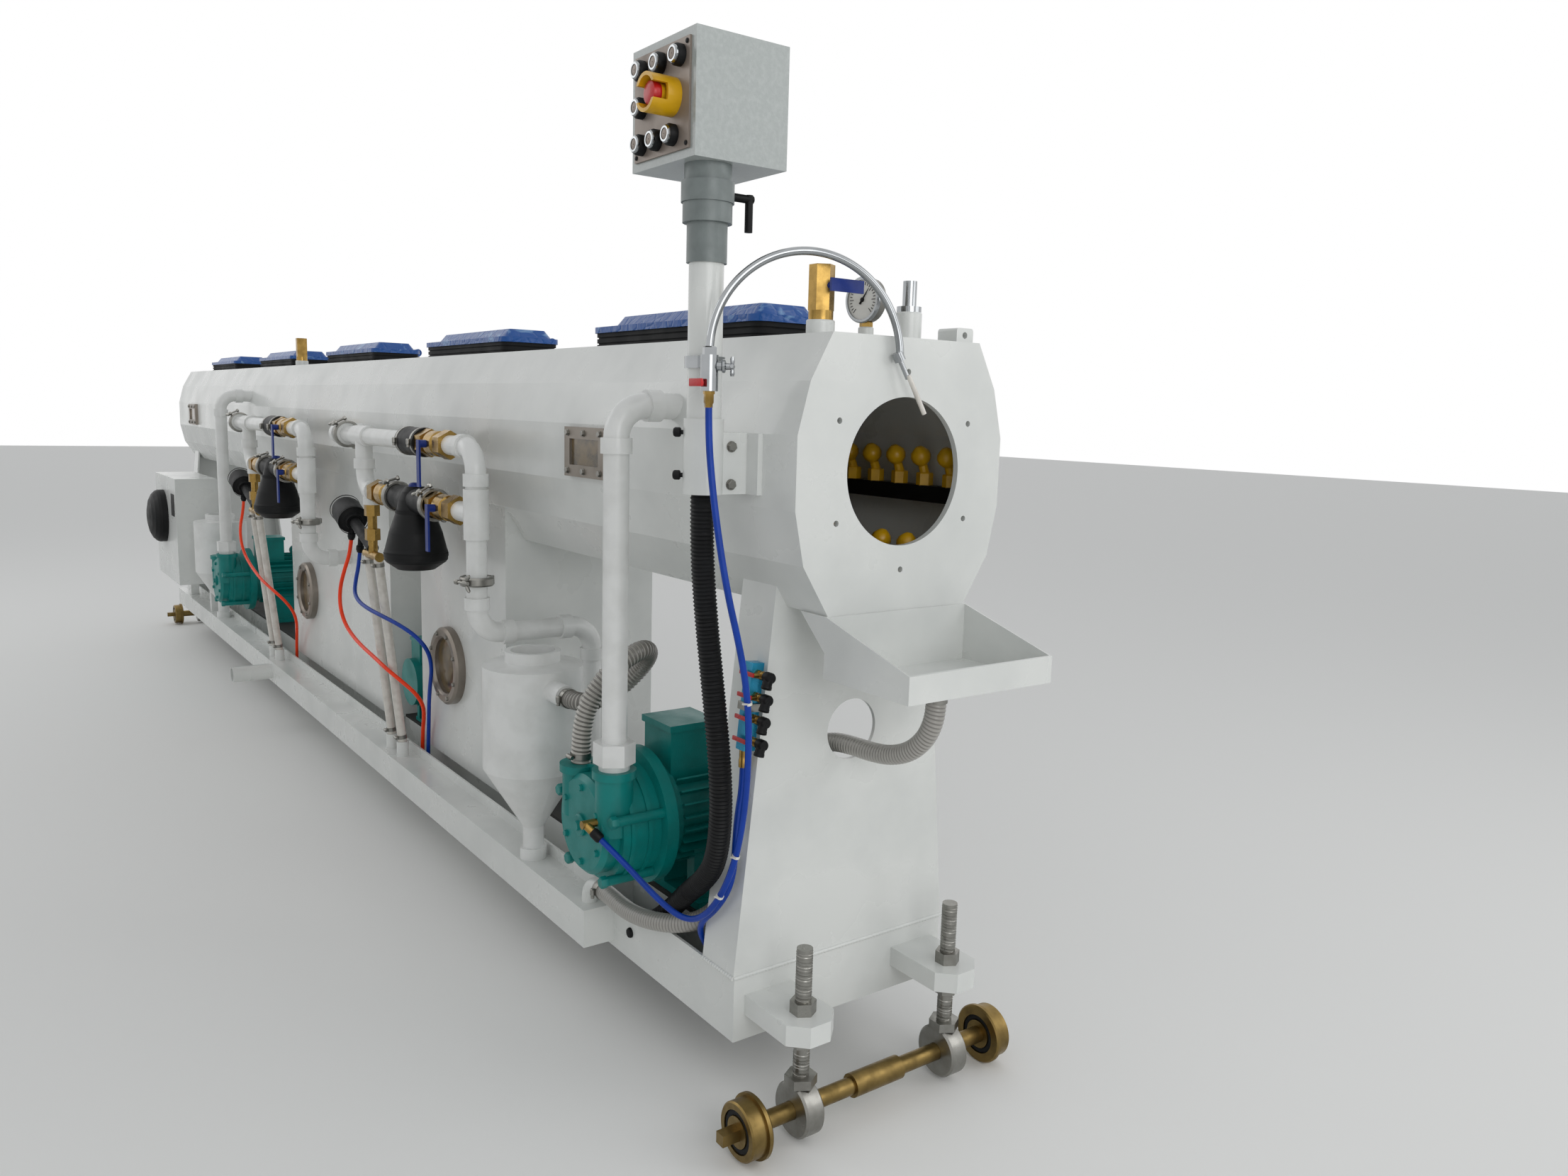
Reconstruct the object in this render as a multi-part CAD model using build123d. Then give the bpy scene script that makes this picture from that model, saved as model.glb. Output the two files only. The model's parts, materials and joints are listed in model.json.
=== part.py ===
from build123d import *
import os
from math import atan2, cos, degrees, radians, sin, tan

# Vacuum calibration tank of a pipe extrusion line, in millimetres.
# Modelled about the line: x = 0 on the inlet face and the tank runs to -x, y = 0 on the pipe axis
# with the operator at -y, z = 0 on the floor. place() then moves the footprint's middle to x = y = 0.

# Overall sizes
LINE_HEIGHT = 1240
CUT = 2

# Tank section: roof edge and bends down one side, as shares of half width and of rise or drop
TANK_HALF_WIDTH = 242.5
TANK_RISE = 237
TANK_DROP = 273
TANK_WALL = 5
UPPER_BEND_SHARES = [(0.713, 1), (0.9, 0.648), (1, 0.262)]
LOWER_BEND_SHARES = [(1, 0.242), (0.915, 0.59), (0.68, 0.92)]

# End plates
END_PLATE = 12
INLET_BORE = 266
INLET_BOLT_CIRCLE = 354
INLET_BOLT_HOLE = 11
INLET_BOLTS = 6
LUG_WIDTH = 42
LUG_HEIGHT = 26
LUG_DEPTH = 50
LUG_INSET = 6
LUG_HOLE = 12

# Hatches on the roof
LID_COUNT = 5
LID_FIRST_FRONT = 350
FRONT_LID_LENGTH = 710
LID_GAP = 550
LID_REAR_SPACE = 140
LID_CORNER = 30
SEAL_HALF_WIDTH = 85
SEAL_BAND = 22
SEAL_HEIGHT = 40
SEAL_GROOVE = 4
SEAL_GROOVE_SHARES = [0.32, 0.66]
LID_OVERHANG = 5
LID_EDGE = 14
LID_CROWN = 24
LID_SLOPE = 40
LID_MARGIN = 10
LID_REAR_MARGIN = 80
HINGE_REACH = 32
HINGE_RISE = 10
HINGE_PIN = 12
HINGE_KNUCKLE = 28
HINGE_WIDTH = 26
HINGE_PLAY = 0.6
HINGE_SIDE_PLAY = 1
HINGE_INSET_SHARE = 0.18

# Spray bars inside the tank
SPRAY_BAR = 32
SPRAY_SIDE = 195
SPRAY_SIDE_DROP = 52
SPRAY_FLOOR_SIDE = 75
SPRAY_FLOOR_DROP = 215

# Base frame
BASE_HALF_WIDTH = 262.5
BASE_BOTTOM = 160
BASE_HEIGHT = 128
BASE_SETBACK = 120
RAIL_WIDTH = 90
RAIL_WALL = 6
END_BEAM_WIDTH = 90
CROSS_BEAM_WIDTH = 60
CROSS_BEAM_SHARES = [0.3, 0.62]
BAY_PLATE = 8
GLAND = 24
BULKHEAD = 6

# Pedestals
PEDESTAL_DEPTH = 108
PEDESTAL_FLARE = 2.5
PEDESTAL_HEAD_HALF = 168
PEDESTAL_WALL = 8
PEDESTAL_HOLE = 120
PEDESTAL_HOLE_DROP = 505

# Jack screws, axles and wheels
AXLE_AHEAD = 110
AXLE_HEIGHT = 60
AXLE_DIAMETER = 34
AXLE_SLEEVE = 46
AXLE_SLEEVE_LENGTH = 120
AXLE_END = 36
AXLE_SQUARE = 22
WHEEL_OFFSET = 304
WHEEL_WIDTH = 42
WHEEL_DIAMETER = 108
WHEEL_FLANGE = 120
WHEEL_FLANGE_WIDTH = 10
WHEEL_RIM = 14
WHEEL_HUB = 58
WHEEL_RECESS = 5
WHEEL_EDGE = 3
SCREW_OFFSET = 183
SCREW_DIAMETER = 30
SCREW_TOP = 375
EYE_DIAMETER = 105
EYE_WIDTH = 42
EYE_PLAY = 1
JACK_LUG = 40
JACK_LUG_HEIGHT = 230
JACK_LUG_WIDTH = 110
JACK_LUG_CHAMFER = 32
JACK_NUT = 50
JACK_NUT_HEIGHT = 24
EYE_COLLAR = 62
EYE_COLLAR_HEIGHT = 18
EYE_EDGE = 4

# Catch tray under the inlet
TRAY_REACH = 222
TRAY_HALF_WIDTH = 170
TRAY_SHEET = 4
TRAY_FLOOR_DROP = 362
TRAY_LIP_DROP = 314
TRAY_WING = 72
TRAY_WING_DROP = 316
TRAY_OUTLET = 44
TRAY_OUTLET_LENGTH = 28

# Drain header along the operator side
HEADER_WIDTH = 74
HEADER_HEIGHT = 85
HEADER_RISE = 15
HEADER_FRONT = 595
HEADER_REAR_INSET = 300
SPIGOT_DIAMETER = 36
SPIGOT_HEIGHT = 45
OUTLET_X = 3480
OUTLET_DIAMETER = 63
OUTLET_REACH = 150
OUTLET_BORE = 55

# Water boxes under the tank
BOX_HALF_WIDTH = 220
FRONT_BOX_OFFSET = 159
FRONT_BOX_LENGTH = 661
MIDDLE_BAY = 300
REAR_BOX_LENGTH = 1300
REAR_BAY = 2450
PORT_HEIGHT = 578
PORT_DIAMETER = 228
PORT_SIGHT = 164
PORT_RIM = 28
PORT_CHAMFER = 7
PORT_GLASS = 10
FRONT_PORT_OFFSET = 406
REAR_PORT_OFFSET = 1021

# Sight windows in the tank side
WINDOW_FRONT_X = 765
WINDOW_REAR_INSET = 480
WINDOW_LENGTH = 190
WINDOW_HEIGHT = 110
WINDOW_BORDER = 26
WINDOW_FRAME = 14
WINDOW_GLASS = 8

# Vacuum pumps
PUMP_OFFSET = 262
REAR_PUMP_OFFSET = 690
PUMP_AXIS_HEIGHT = 500
PUMP_FACE = 395
PUMP_HEAD_LENGTH = 120
PUMP_HEAD_DIAMETER = 236
PUMP_FLANGE = 286
PUMP_FLANGE_LENGTH = 26
PUMP_PORT_SPACING = 147
PUMP_PORT = 76
PUMP_PORT_BACK = 35
PUMP_PORT_HEIGHT = 632
PUMP_PORT_COLLAR = 88
PUMP_PORT_LIP = 16
PUMP_OUTLET_DROP = 25
PUMP_COVER = 206
PUMP_COVER_LENGTH = 34
PUMP_EDGE = 10
PUMP_RIB = 244
PUMP_RIB_WIDTH = 9
PUMP_RIB_SHARES = [0.42, 0.74]
PUMP_TIE = 20
PUMP_TIE_CIRCLE = 250
PUMP_TIE_ANGLES = [18, 162, 232, 308]
MOTOR_DIAMETER = 230
MOTOR_BELL_SHARE = 0.92
MOTOR_CORE_SHARE = 0.82
MOTOR_COWL_SHARE = 0.97
MOTOR_CAP_SHARE = 0.8
MOTOR_LENGTH_SHARES = [0.1, 0.74, 0.95]
MOTOR_FIN = 4
MOTOR_FIN_PAIRS = 13
MOTOR_EYE = 44
MOTOR_EYE_HOLE = 22
MOTOR_EYE_WIDTH = 14
MOTOR_EYE_SHARE = 0.6
MOTOR_LENGTH = 330
MOTOR_TERMINAL = 110
MOTOR_TERMINAL_HEIGHT = 80
MOTOR_TERMINAL_BACK = 30
MOTOR_TERMINAL_LID = 5
MOTOR_TERMINAL_LID_HEIGHT = 14
MOTOR_FOOT_WIDTH = 190
MOTOR_FOOT_LENGTH = 200
MOTOR_FOOT_INSET = 8
MOTOR_FOOT_PLATE = 16
MOTOR_WEB_SHARES = (0.5, 0.8)
WATER_PUMP_SCALE_SHARE = 0.72
WATER_PUMP_FACE = 212

# Gas and water separators
SEPARATOR_OFFSET = 450
REAR_SEPARATOR_OFFSET = 1080
SEPARATOR_DIAMETER = 235
SEPARATOR_TOP = 745
SEPARATOR_CONE_TOP = 490
SEPARATOR_CONE_FOOT = 340
SEPARATOR_PIPE = 50
SEPARATOR_SOCKET = 64
SEPARATOR_SOCKET_HEIGHT = 28
SEPARATOR_SHOULDER = 8
SEPARATOR_COLLAR = 130
SEPARATOR_COLLAR_HEIGHT = 26
SEPARATOR_COLLAR_BORE = 104
SEPARATOR_INLET = 50
SEPARATOR_INLET_HEIGHT = 695
SEPARATOR_INLET_REACH = 60

# White pipes
PIPE = 50
PIPE_BEND = 62
PIPE_Y = 360
SUCTION_RISE = 105
SOCKET = 61
SOCKET_LENGTH = 30
FERRULE = 74
FERRULE_WIDTH = 16
UNION_DIAMETER = 84
UNION_HEIGHT = 44
UNION_FOOT = 12

# Vacuum control stations
STATION_OFFSET = 190
REAR_STATION_OFFSET = 456
STATION_TOP_DROP = 5
STATION_LOW_DROP = 165
STATION_FOOT_DROP = 460
STATION_END = 1226
STATION_CLAMP = 150
STATION_CLAMP_DROP = 330
STATION_TEE = 895
UPPER_VALVE_FRONT = 165
UPPER_VALVE_BACK = 345
UPPER_SLEEVE_BACK = 490
LOWER_VALVE_FRONT = 105
LOWER_VALVE_BACK = 290
FILTER_BACK = 590
LOWER_UNION_BACK = 770
STATION_TAIL_Y = 50
SLEEVE_DIAMETER = 76
VALVE_DIAMETER = 66
VALVE_HEX = 74
VALVE_HEX_SHARE = 0.25
VALVE_SHARES = [(0, 0.78), (0.3, 0.78), (0.36, 1), (0.64, 1), (0.7, 0.78), (1, 0.78)]
FILTER_NECK = 70
FILTER_DIAMETER = 168
FILTER_CAP = 38
FILTER_HEIGHT = 225
FILTER_SHARES = [(0, 0.3), (0.06, 0.42), (0.16, 0.52), (0.3, 0.6), (0.55, 0.84), (0.75, 0.97), (0.78, 1),
                 (0.88, 1), (0.91, 0.94), (1, 0.6)]
LEVER_LENGTH = 110
LEVER_WIDTH = 20
LEVER_THICKNESS = 5
LEVER_STAND = 16
DRAIN_VALVE_TOP_X = 830
DRAIN_VALVE_PIPE = 28
DRAIN_VALVE_DROP = 360
DRAIN_VALVE_SPREAD = 100
DRAIN_STUB = 42
DRAIN_VALVE_HEX = 46
DRAIN_VALVE_HEX_LENGTH = 34
ACTUATOR_DIAMETER = 92
ACTUATOR_LENGTH = 115
ACTUATOR_SHARES = [(0, 0.55), (0.14, 0.62), (0.2, 1), (0.8, 1), (0.84, 0.93), (0.94, 0.9), (1, 0.7)]
ACTUATOR_STEM = 190
ACTUATOR_STEM_DIAMETER = 34
ACTUATOR_TILT = 19
AIR_FITTING = 17
AIR_FITTING_REACH = 64
AIR_FITTING_PLACES = [24, -70]
AIR_LEAD = 50
ACTUATOR_RISE = 20
DROP_HOSE = 27

# Control post and box
POST_X = 155
POST_Y = 330
POST_DIAMETER = 60
POST_FOOT_DROP = 45
BRACKET_TUBE = 70
BRACKET_RISE = 85
BRACKET_PLATE = 10
BRACKET_PLATE_LENGTH = 110
BRACKET_ARM = 40
SLEEVE_FOOT_RISE = 345
COLLAR_SLEEVE = 69
COLLAR_SLEEVE_HEIGHT = 65
COLLAR_RING = 84
COLLAR_RING_HEIGHT = 33
COLLAR_HEAD = 90
COLLAR_HEAD_HEIGHT = 34
COLLAR_NECK = 80
COLLAR_NECK_HEIGHT = 28
COLLAR_CAP = 25
COLLAR_PLAY = 0.5
BOX_FRONT = 104
BOX_LENGTH = 207
BOX_OUTER = 388
BOX_WIDTH = 183
BOX_HEIGHT = 200
PANEL = 4
PANEL_MARGIN = 14
BUTTON_DIAMETER = 26
BUTTON_REACH = 16
BUTTON_RING = 32
BUTTON_RING_REACH = 6
BUTTON_SHARES = [(-0.3, 0.3), (0, 0.3), (0.3, 0.3), (-0.3, 0), (-0.3, -0.3), (-0.05, -0.3), (0.2, -0.3)]
SWITCH_DIAMETER = 62
SWITCH_REACH = 52
SWITCH_SHARES = (0.18, 0.0)
SWITCH_WALL = 6
SWITCH_FLOOR = 12
SWITCH_KNOB = 36
SWITCH_KNOB_REACH = 40
SWITCH_SLOT = 26
CLAMP_LEVER = 14
CLAMP_LEVER_OUT = 46
CLAMP_LEVER_DROP = 62

# Spout on the post
SPOUT = 14
SPOUT_BASE_X = 85
SPOUT_BASE_Y = 365
SPOUT_BASE_RISE = 190
SPOUT_ARCH = 344
SPOUT_WAY = 73
SPOUT_STRAIGHT = 6
SPOUT_NOZZLE = 9
SPOUT_NOZZLE_COLLAR = 20
SPOUT_NOZZLE_COLLAR_LENGTH = 16
SPOUT_NOZZLE_LENGTH = 50
SPOUT_NOZZLE_LEAN = 28
SPOUT_VALVE = 30
SPOUT_VALVE_DROP = 59
SPOUT_CLIP = 5
SPOUT_CLIP_HEIGHT = 20

# Fittings on the roof
FITTING_X = 80
VENT_Y = -140
GAUGE_Y = -36
BREAKER_Y = 66
VENT_REAR_Y = -111
VENT_SOCKET = 44
VENT_SOCKET_HEIGHT = 40
VENT_BODY = 46
VENT_BODY_HEIGHT = 78
VENT_LEVER_LENGTH = 72
VENT_LEVER_WIDTH = 22
VENT_LEVER_STAND = 14
VENT_LEVER_RISE = 42
GAUGE_DIAMETER = 62
GAUGE_DEPTH = 28
GAUGE_STEM = 20
GAUGE_STEM_HEIGHT = 52
GAUGE_SEAT_SHARE = 0.33
BREAKER_SOCKET = 46
BREAKER_SOCKET_HEIGHT = 62
BREAKER_STEM = 26
BREAKER_HEIGHT = 46

# Valve block on the pedestal
BLOCK_DROP = 355
BLOCK_LENGTH = 165
BLOCK_SIZE = 26
BLOCK_VALVES = 4
BLOCK_VALVE = 16
BLOCK_VALVE_REACH = 26
BLOCK_ELBOW = 22
BLOCK_ELBOW_LENGTH = 20
BLOCK_LEVER_LENGTH = 38
BLOCK_LEVER_WIDTH = 9
BLOCK_LEVER = 4
BLOCK_NIPPLE = 14
BLOCK_NIPPLE_LENGTH = 40
BLOCK_SETBACK = 24

# Rear cabinet
CABINET_OFFSET = 1280
CABINET_LENGTH = 620
CABINET_OUTER = 460
CABINET_INNER = 270
CABINET_BOTTOM = 400
CABINET_HEIGHT = 530
CABINET_LEG_WIDTH = 40
HOOD_DIAMETER = 270
HOOD_DEPTH = 80
HOOD_SHARE = 0.6
HOOD_SHARES = [(0, 1), (0.34, 1), (0.5, 0.96), (0.7, 0.84), (0.86, 0.64), (0.96, 0.36), (1, 0.12)]

# Hose and cable routes from exit to far end, about the line
CORD_BEND_SHARE = 0.45
CONDUIT = 43
CONDUIT_ROUTE = [(-155, -330, 1195), (-155, -330, 1105), (-150, -322, 985), (-135, -313, 850),
                 (-118, -306, 715), (-117, -301, 610), (-140, -296, 517), (-200, -285, 458),
                 (-285, -262, 402), (-395, -231, 320), (-500, -219, 243), (-590, -215, 205),
                 (-660, -215, 205)]
WATER_HOSE = 12
SPOUT_HOSE_ROUTE = [(-85, -365, 1371), (-85, -365, 1305), (-76, -361, 1215), (-63, -353, 1120),
                    (-52, -340, 1030), (-46, -322, 955), (-46, -305, 885), (-52, -291, 810),
                    (-62, -283, 725), (-73, -280, 640), (-88, -282, 560), (-110, -288, 490),
                    (-150, -294, 424), (-198, -299, 384), (-240, -309, 376), (-278, -326, 393),
                    (-315, -349, 426), (-355, -375, 466), (-399, -406, 507.5)]
BLOCK_HOSE_ROUTE = [(-144, -238, 700), (-144, -238, 655), (-142, -249, 600), (-134, -258, 548),
                    (-130, -262, 498), (-146, -264, 450), (-180, -268, 404), (-220, -271, 368),
                    (-246, -262, 334), (-252, -238, 292), (-252, -218, 246), (-252, -211, 206),
                    (-252, -211, 184)]
SPIRAL_HOSE = 42
DISCHARGE_ROUTE = [(-563.5, -360, 607), (-563.5, -360, 662), (-560, -350, 720), (-552, -322, 774),
                   (-545, -276, 816), (-553, -224, 836), (-584, -186, 822), (-622, -180, 785),
                   (-648, -207, 742), (-660, -250, 712), (-682, -287, 698), (-722.5, -299.5, 695),
                   (-762.5, -299.5, 695)]
TRAY_HOSE = 38
TRAY_HOSE_ROUTE = [(90, 20, 850), (90, 20, 822), (86, 18, 790), (70, 15, 757), (38, 10, 727),
                   (-8, 5, 709), (-58, -1, 704), (-112, -8, 706), (-164, -16, 702), (-210, -33, 680),
                   (-241, -58, 636), (-254, -88, 578), (-257, -118, 518), (-257, -148, 458),
                   (-258, -178, 402), (-268, -206, 359), (-289, -233, 332), (-322, -258, 318),
                   (-367, -280, 309), (-425, -293, 301), (-485, -298, 298), (-540, -299.5, 305),
                   (-595, -299.5, 305)]
AIR_HOSE = 12
FRONT_AIR_ROUTE = [(-2230, -372, 800), (-2255, -380, 740), (-2254, -382, 680), (-2222, -378, 632),
                   (-2163, -372, 601), (-2080, -366, 579), (-1985, -358, 562), (-1900, -348, 541),
                   (-1845, -322, 512), (-1822, -286, 474), (-1836, -258, 430), (-1872, -244, 385),
                   (-1906, -237, 332), (-1922, -234, 272), (-1925, -234, 214), (-1925, -234, 184)]
REAR_AIR_ROUTE = [(-3786, -372, 800), (-3766, -377, 742), (-3718, -376, 690), (-3650, -370, 652),
                  (-3570, -364, 624), (-3480, -358, 600), (-3397, -336, 570), (-3350, -302, 531),
                  (-3354, -270, 484), (-3385, -251, 434), (-3432, -241, 378), (-3464, -236, 318),
                  (-3475, -234, 262), (-3477, -234, 214), (-3477, -234, 184)]
SIGNAL_ROUTE = [(-2107, -371, 788), (-2072, -387, 752), (-2005, -393, 733), (-1925, -387, 722),
                (-1845, -371, 712), (-1770, -346, 696), (-1720, -314, 668), (-1706, -284, 624),
                (-1726, -268, 568), (-1765, -261, 505), (-1808, -250, 445), (-1842, -240, 385),
                (-1862, -235, 325), (-1870, -234, 268), (-1871, -234, 214), (-1871, -234, 184)]

# Derived places: the bays along the line first, then heights about it
BASE_FRONT = -BASE_SETBACK
PUMP_X = BASE_SETBACK + PEDESTAL_DEPTH + PUMP_OFFSET
SEPARATOR_X = PUMP_X + SEPARATOR_OFFSET
STATION_X = SEPARATOR_X + STATION_OFFSET
FRONT_BOX_FRONT = STATION_X + FRONT_BOX_OFFSET
FRONT_BOX_BACK = FRONT_BOX_FRONT + FRONT_BOX_LENGTH
REAR_BOX_FRONT = FRONT_BOX_BACK + MIDDLE_BAY
REAR_BOX_BACK = REAR_BOX_FRONT + REAR_BOX_LENGTH
WATER_PUMP_X = (FRONT_BOX_BACK + REAR_BOX_FRONT) / 2
STATION_PITCH = REAR_BOX_FRONT + REAR_STATION_OFFSET - STATION_X
PORT_PLACES = [FRONT_BOX_FRONT + FRONT_PORT_OFFSET, REAR_BOX_FRONT + REAR_PORT_OFFSET]
REAR_PUMP_X = REAR_BOX_BACK + REAR_PUMP_OFFSET
REAR_SEPARATOR_X = REAR_BOX_BACK + REAR_SEPARATOR_OFFSET
CABINET_FRONT = REAR_BOX_BACK + CABINET_OFFSET
TANK_LENGTH = REAR_BOX_BACK + REAR_BAY
LID_ROOM = TANK_LENGTH - LID_FIRST_FRONT - FRONT_LID_LENGTH - LID_REAR_SPACE
LID_LENGTH = LID_ROOM / (LID_COUNT - 1) - LID_GAP
WINDOW_REAR_X = TANK_LENGTH - WINDOW_REAR_INSET
HEADER_BACK = TANK_LENGTH - HEADER_REAR_INSET
ROOF_Z = LINE_HEIGHT + TANK_RISE
ROOF_HALF = TANK_HALF_WIDTH * UPPER_BEND_SHARES[0][0]
BASE_TOP = BASE_BOTTOM + BASE_HEIGHT
BAY_FLOOR = BASE_TOP + BAY_PLATE
BAY_EDGE = RAIL_WIDTH - BASE_HALF_WIDTH - RAIL_WALL
TROUGH_FLOOR = BASE_BOTTOM + RAIL_WALL
BASE_BACK = BASE_SETBACK - TANK_LENGTH
PEDESTAL_FOOT_HALF = BASE_HALF_WIDTH + PEDESTAL_FLARE
SHELL_FRONT = -END_PLATE
SHELL_BACK = END_PLATE - TANK_LENGTH
SEAL_TOP = ROOF_Z + SEAL_HEIGHT
HINGE_Y = SEAL_HALF_WIDTH + HINGE_REACH
HINGE_Z = SEAL_TOP + HINGE_RISE
TRAY_FLOOR_HEIGHT = LINE_HEIGHT - TRAY_FLOOR_DROP
SUCTION_TOP = LINE_HEIGHT + SUCTION_RISE
STATION_TOP = LINE_HEIGHT - STATION_TOP_DROP
STATION_LOW = LINE_HEIGHT - STATION_LOW_DROP
STATION_FOOT = LINE_HEIGHT - STATION_FOOT_DROP
DRAIN_VALVE_FOOT = LINE_HEIGHT - DRAIN_VALVE_DROP
POST_FOOT = LINE_HEIGHT - POST_FOOT_DROP
BRACKET_TOP = LINE_HEIGHT + BRACKET_RISE
SLEEVE_FOOT = LINE_HEIGHT + SLEEVE_FOOT_RISE
SPOUT_BASE = LINE_HEIGHT + SPOUT_BASE_RISE
PUMP_FLANGE_BACK = PUMP_FACE - PUMP_HEAD_LENGTH - PUMP_FLANGE_LENGTH
COLLAR_RING_Z = SLEEVE_FOOT + COLLAR_SLEEVE_HEIGHT
COLLAR_HEAD_Z = COLLAR_RING_Z + COLLAR_RING_HEIGHT
COLLAR_NECK_Z = COLLAR_HEAD_Z + COLLAR_HEAD_HEIGHT
BOX_BOTTOM = COLLAR_NECK_Z + COLLAR_NECK_HEIGHT
POST_TOP = BOX_BOTTOM - COLLAR_CAP
HEADER_BOTTOM = BASE_BOTTOM + HEADER_RISE
HEADER_TOP = HEADER_BOTTOM + HEADER_HEIGHT
HEADER_MID_Y = BASE_HALF_WIDTH + HEADER_WIDTH / 2
FRONT_AXLE_X = BASE_FRONT + AXLE_AHEAD
REAR_AXLE_X = BASE_BACK - AXLE_AHEAD
FOOTPRINT_MID_X = (TRAY_REACH + REAR_AXLE_X - WHEEL_FLANGE / 2) / 2
FOOTPRINT_MID_Y = (WHEEL_OFFSET + WHEEL_WIDTH / 2 - CABINET_OUTER - HOOD_DEPTH) / 2


def block(x, y, z):
    """Box between the two ends given for each axis."""
    size = [abs(ends[1] - ends[0]) for ends in (x, y, z)]
    middle = [(ends[0] + ends[1]) / 2 for ends in (x, y, z)]
    return Pos(*middle) * Box(*size)


def bar(start, direction, length, diameter):
    """Round bar from a point along a direction."""
    upright = (Align.CENTER, Align.CENTER, Align.MIN)
    return Plane(start, z_dir=direction) * Cylinder(diameter / 2, length, align=upright)


def turned(start, direction, outline):
    """Turned solid from a point along a direction, through (distance, diameter) points."""
    points = [(0, outline[0][0])] + [(width / 2, far) for far, width in outline] + [(0, outline[-1][0])]
    profile = Plane.XZ * make_face(Polyline(*points, close=True))
    return Plane(start, z_dir=direction) * revolve(profile, Axis.Z)


def shared(shares, length, diameter):
    """Outline for a turned solid from shares of its length and diameter."""
    return [(length * far, diameter * width) for far, width in shares]


def hexagon(start, direction, length, width):
    """Hexagonal bar, given its width across corners."""
    face = Plane(start, z_dir=direction) * RegularPolygon(width / 2, 6)
    return extrude(face, amount=length)


def across(points, front, back):
    """Closed outline of (y, z) points carried along x from front to back."""
    face = Plane.YZ.offset(back) * make_face(Polyline(*points, close=True))
    return extrude(face, amount=front - back)


def pipe(points, diameter, bend):
    """Round pipe through points, with equal bends."""
    path = FilletPolyline(*points, radius=bend) if len(points) > 2 else Line(*points)
    return sweep(Plane(path @ 0, z_dir=path % 0) * Circle(diameter / 2), path=path)


def glued_pipe(points):
    """White pipe with a glued socket on both sides of each bend."""
    line = pipe(points, PIPE, PIPE_BEND)
    for before, corner, after in zip(points, points[1:], points[2:]):
        for other in (before, after):
            way = (Vector(*other) - Vector(*corner)).normalized()
            line += bar(Vector(*corner) + way * PIPE_BEND, way, SOCKET_LENGTH, SOCKET)
    return line


def cord(name, points, diameter):
    """Plain tube of straight runs and tangent arcs along a route; prints its length and its bends."""
    spots = [Vector(*point) for point in points]
    radii = []
    for before, corner, after in zip(spots, spots[1:], spots[2:]):
        turn = radians((corner - before).get_angle(after - corner))
        run = min((corner - before).length, (after - corner).length)
        radii.append(CORD_BEND_SHARE * run / tan(turn / 2))
    path = FilletPolyline(*points, radius=radii)
    tube = sweep(Plane(path @ 0, z_dir=path % 0) * Circle(diameter / 2), path=path)
    print(name, "length", round(path.length), "bends", [round(radius) for radius in radii])
    return tube


def tank_outline():
    upper = [(TANK_HALF_WIDTH * w, LINE_HEIGHT + TANK_RISE * h) for w, h in UPPER_BEND_SHARES]
    lower = [(TANK_HALF_WIDTH * w, LINE_HEIGHT - TANK_DROP * h) for w, h in LOWER_BEND_SHARES]
    side = upper + lower
    return side + [(0, LINE_HEIGHT - TANK_DROP)] + [(-y, z) for y, z in reversed(side)]


def tank_block(front=CUT, back=-TANK_LENGTH - CUT):
    """Solid of the tank's outside, to seat pieces against it."""
    return across(tank_outline(), front, back)


def lid_spans():
    """Front and back of each lid's seal."""
    spans = []
    front = -LID_FIRST_FRONT
    for i in range(LID_COUNT):
        length = LID_LENGTH if i else FRONT_LID_LENGTH
        spans.append((front, front - length))
        front -= length + LID_GAP
    return spans


def lid_outline(span, inset):
    """Rounded outline of a hatch on the roof, grown by a negative inset."""
    length = span[0] - span[1] - 2 * inset
    width = 2 * (SEAL_HALF_WIDTH - inset)
    return Pos((span[0] + span[1]) / 2, 0) * RectangleRounded(length, width, LID_CORNER - inset)


def tank_shell():
    inside = Plane.YZ.offset(SHELL_BACK - CUT) * make_face(Polyline(*tank_outline(), close=True))
    inside = offset(inside, amount=-TANK_WALL, kind=Kind.INTERSECTION)
    hollow = extrude(inside, amount=TANK_LENGTH)
    shell = across(tank_outline(), SHELL_FRONT, SHELL_BACK) - hollow
    ends = (SHELL_BACK, SHELL_FRONT)
    roof = block(ends, (-ROOF_HALF, ROOF_HALF), (ROOF_Z - TANK_WALL, ROOF_Z))
    keel_half = TANK_HALF_WIDTH * LOWER_BEND_SHARES[-1][0] - TANK_WALL
    floor = shell & block(ends, (-keel_half, keel_half), (LINE_HEIGHT - TANK_DROP - CUT, LINE_HEIGHT))
    walls = (shell - roof - floor).solids().sort_by(Axis.Y)
    for span in lid_spans():
        face = Plane.XY.offset(ROOF_Z + CUT) * lid_outline(span, SEAL_BAND)
        roof -= extrude(face, amount=-TANK_WALL - 2 * CUT)
    for lug in lifting_lugs():
        roof += lug
    return roof, walls[0], walls[1], floor


def end_plate(face_x):
    """End plate with the line's bore and bolt circle, its outer face towards the nearer end."""
    plate = across(tank_outline(), face_x, face_x - END_PLATE)
    start = (face_x + CUT, 0, LINE_HEIGHT)
    deep = END_PLATE + 2 * CUT
    plate -= bar(start, (-1, 0, 0), deep, INLET_BORE)
    for i in range(INLET_BOLTS):
        angle = radians(360 * (i + 0.5) / INLET_BOLTS)
        y = INLET_BOLT_CIRCLE / 2 * cos(angle)
        z = LINE_HEIGHT + INLET_BOLT_CIRCLE / 2 * sin(angle)
        plate -= bar((face_x + CUT, y, z), (-1, 0, 0), deep, INLET_BOLT_HOLE)
    return plate


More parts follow.
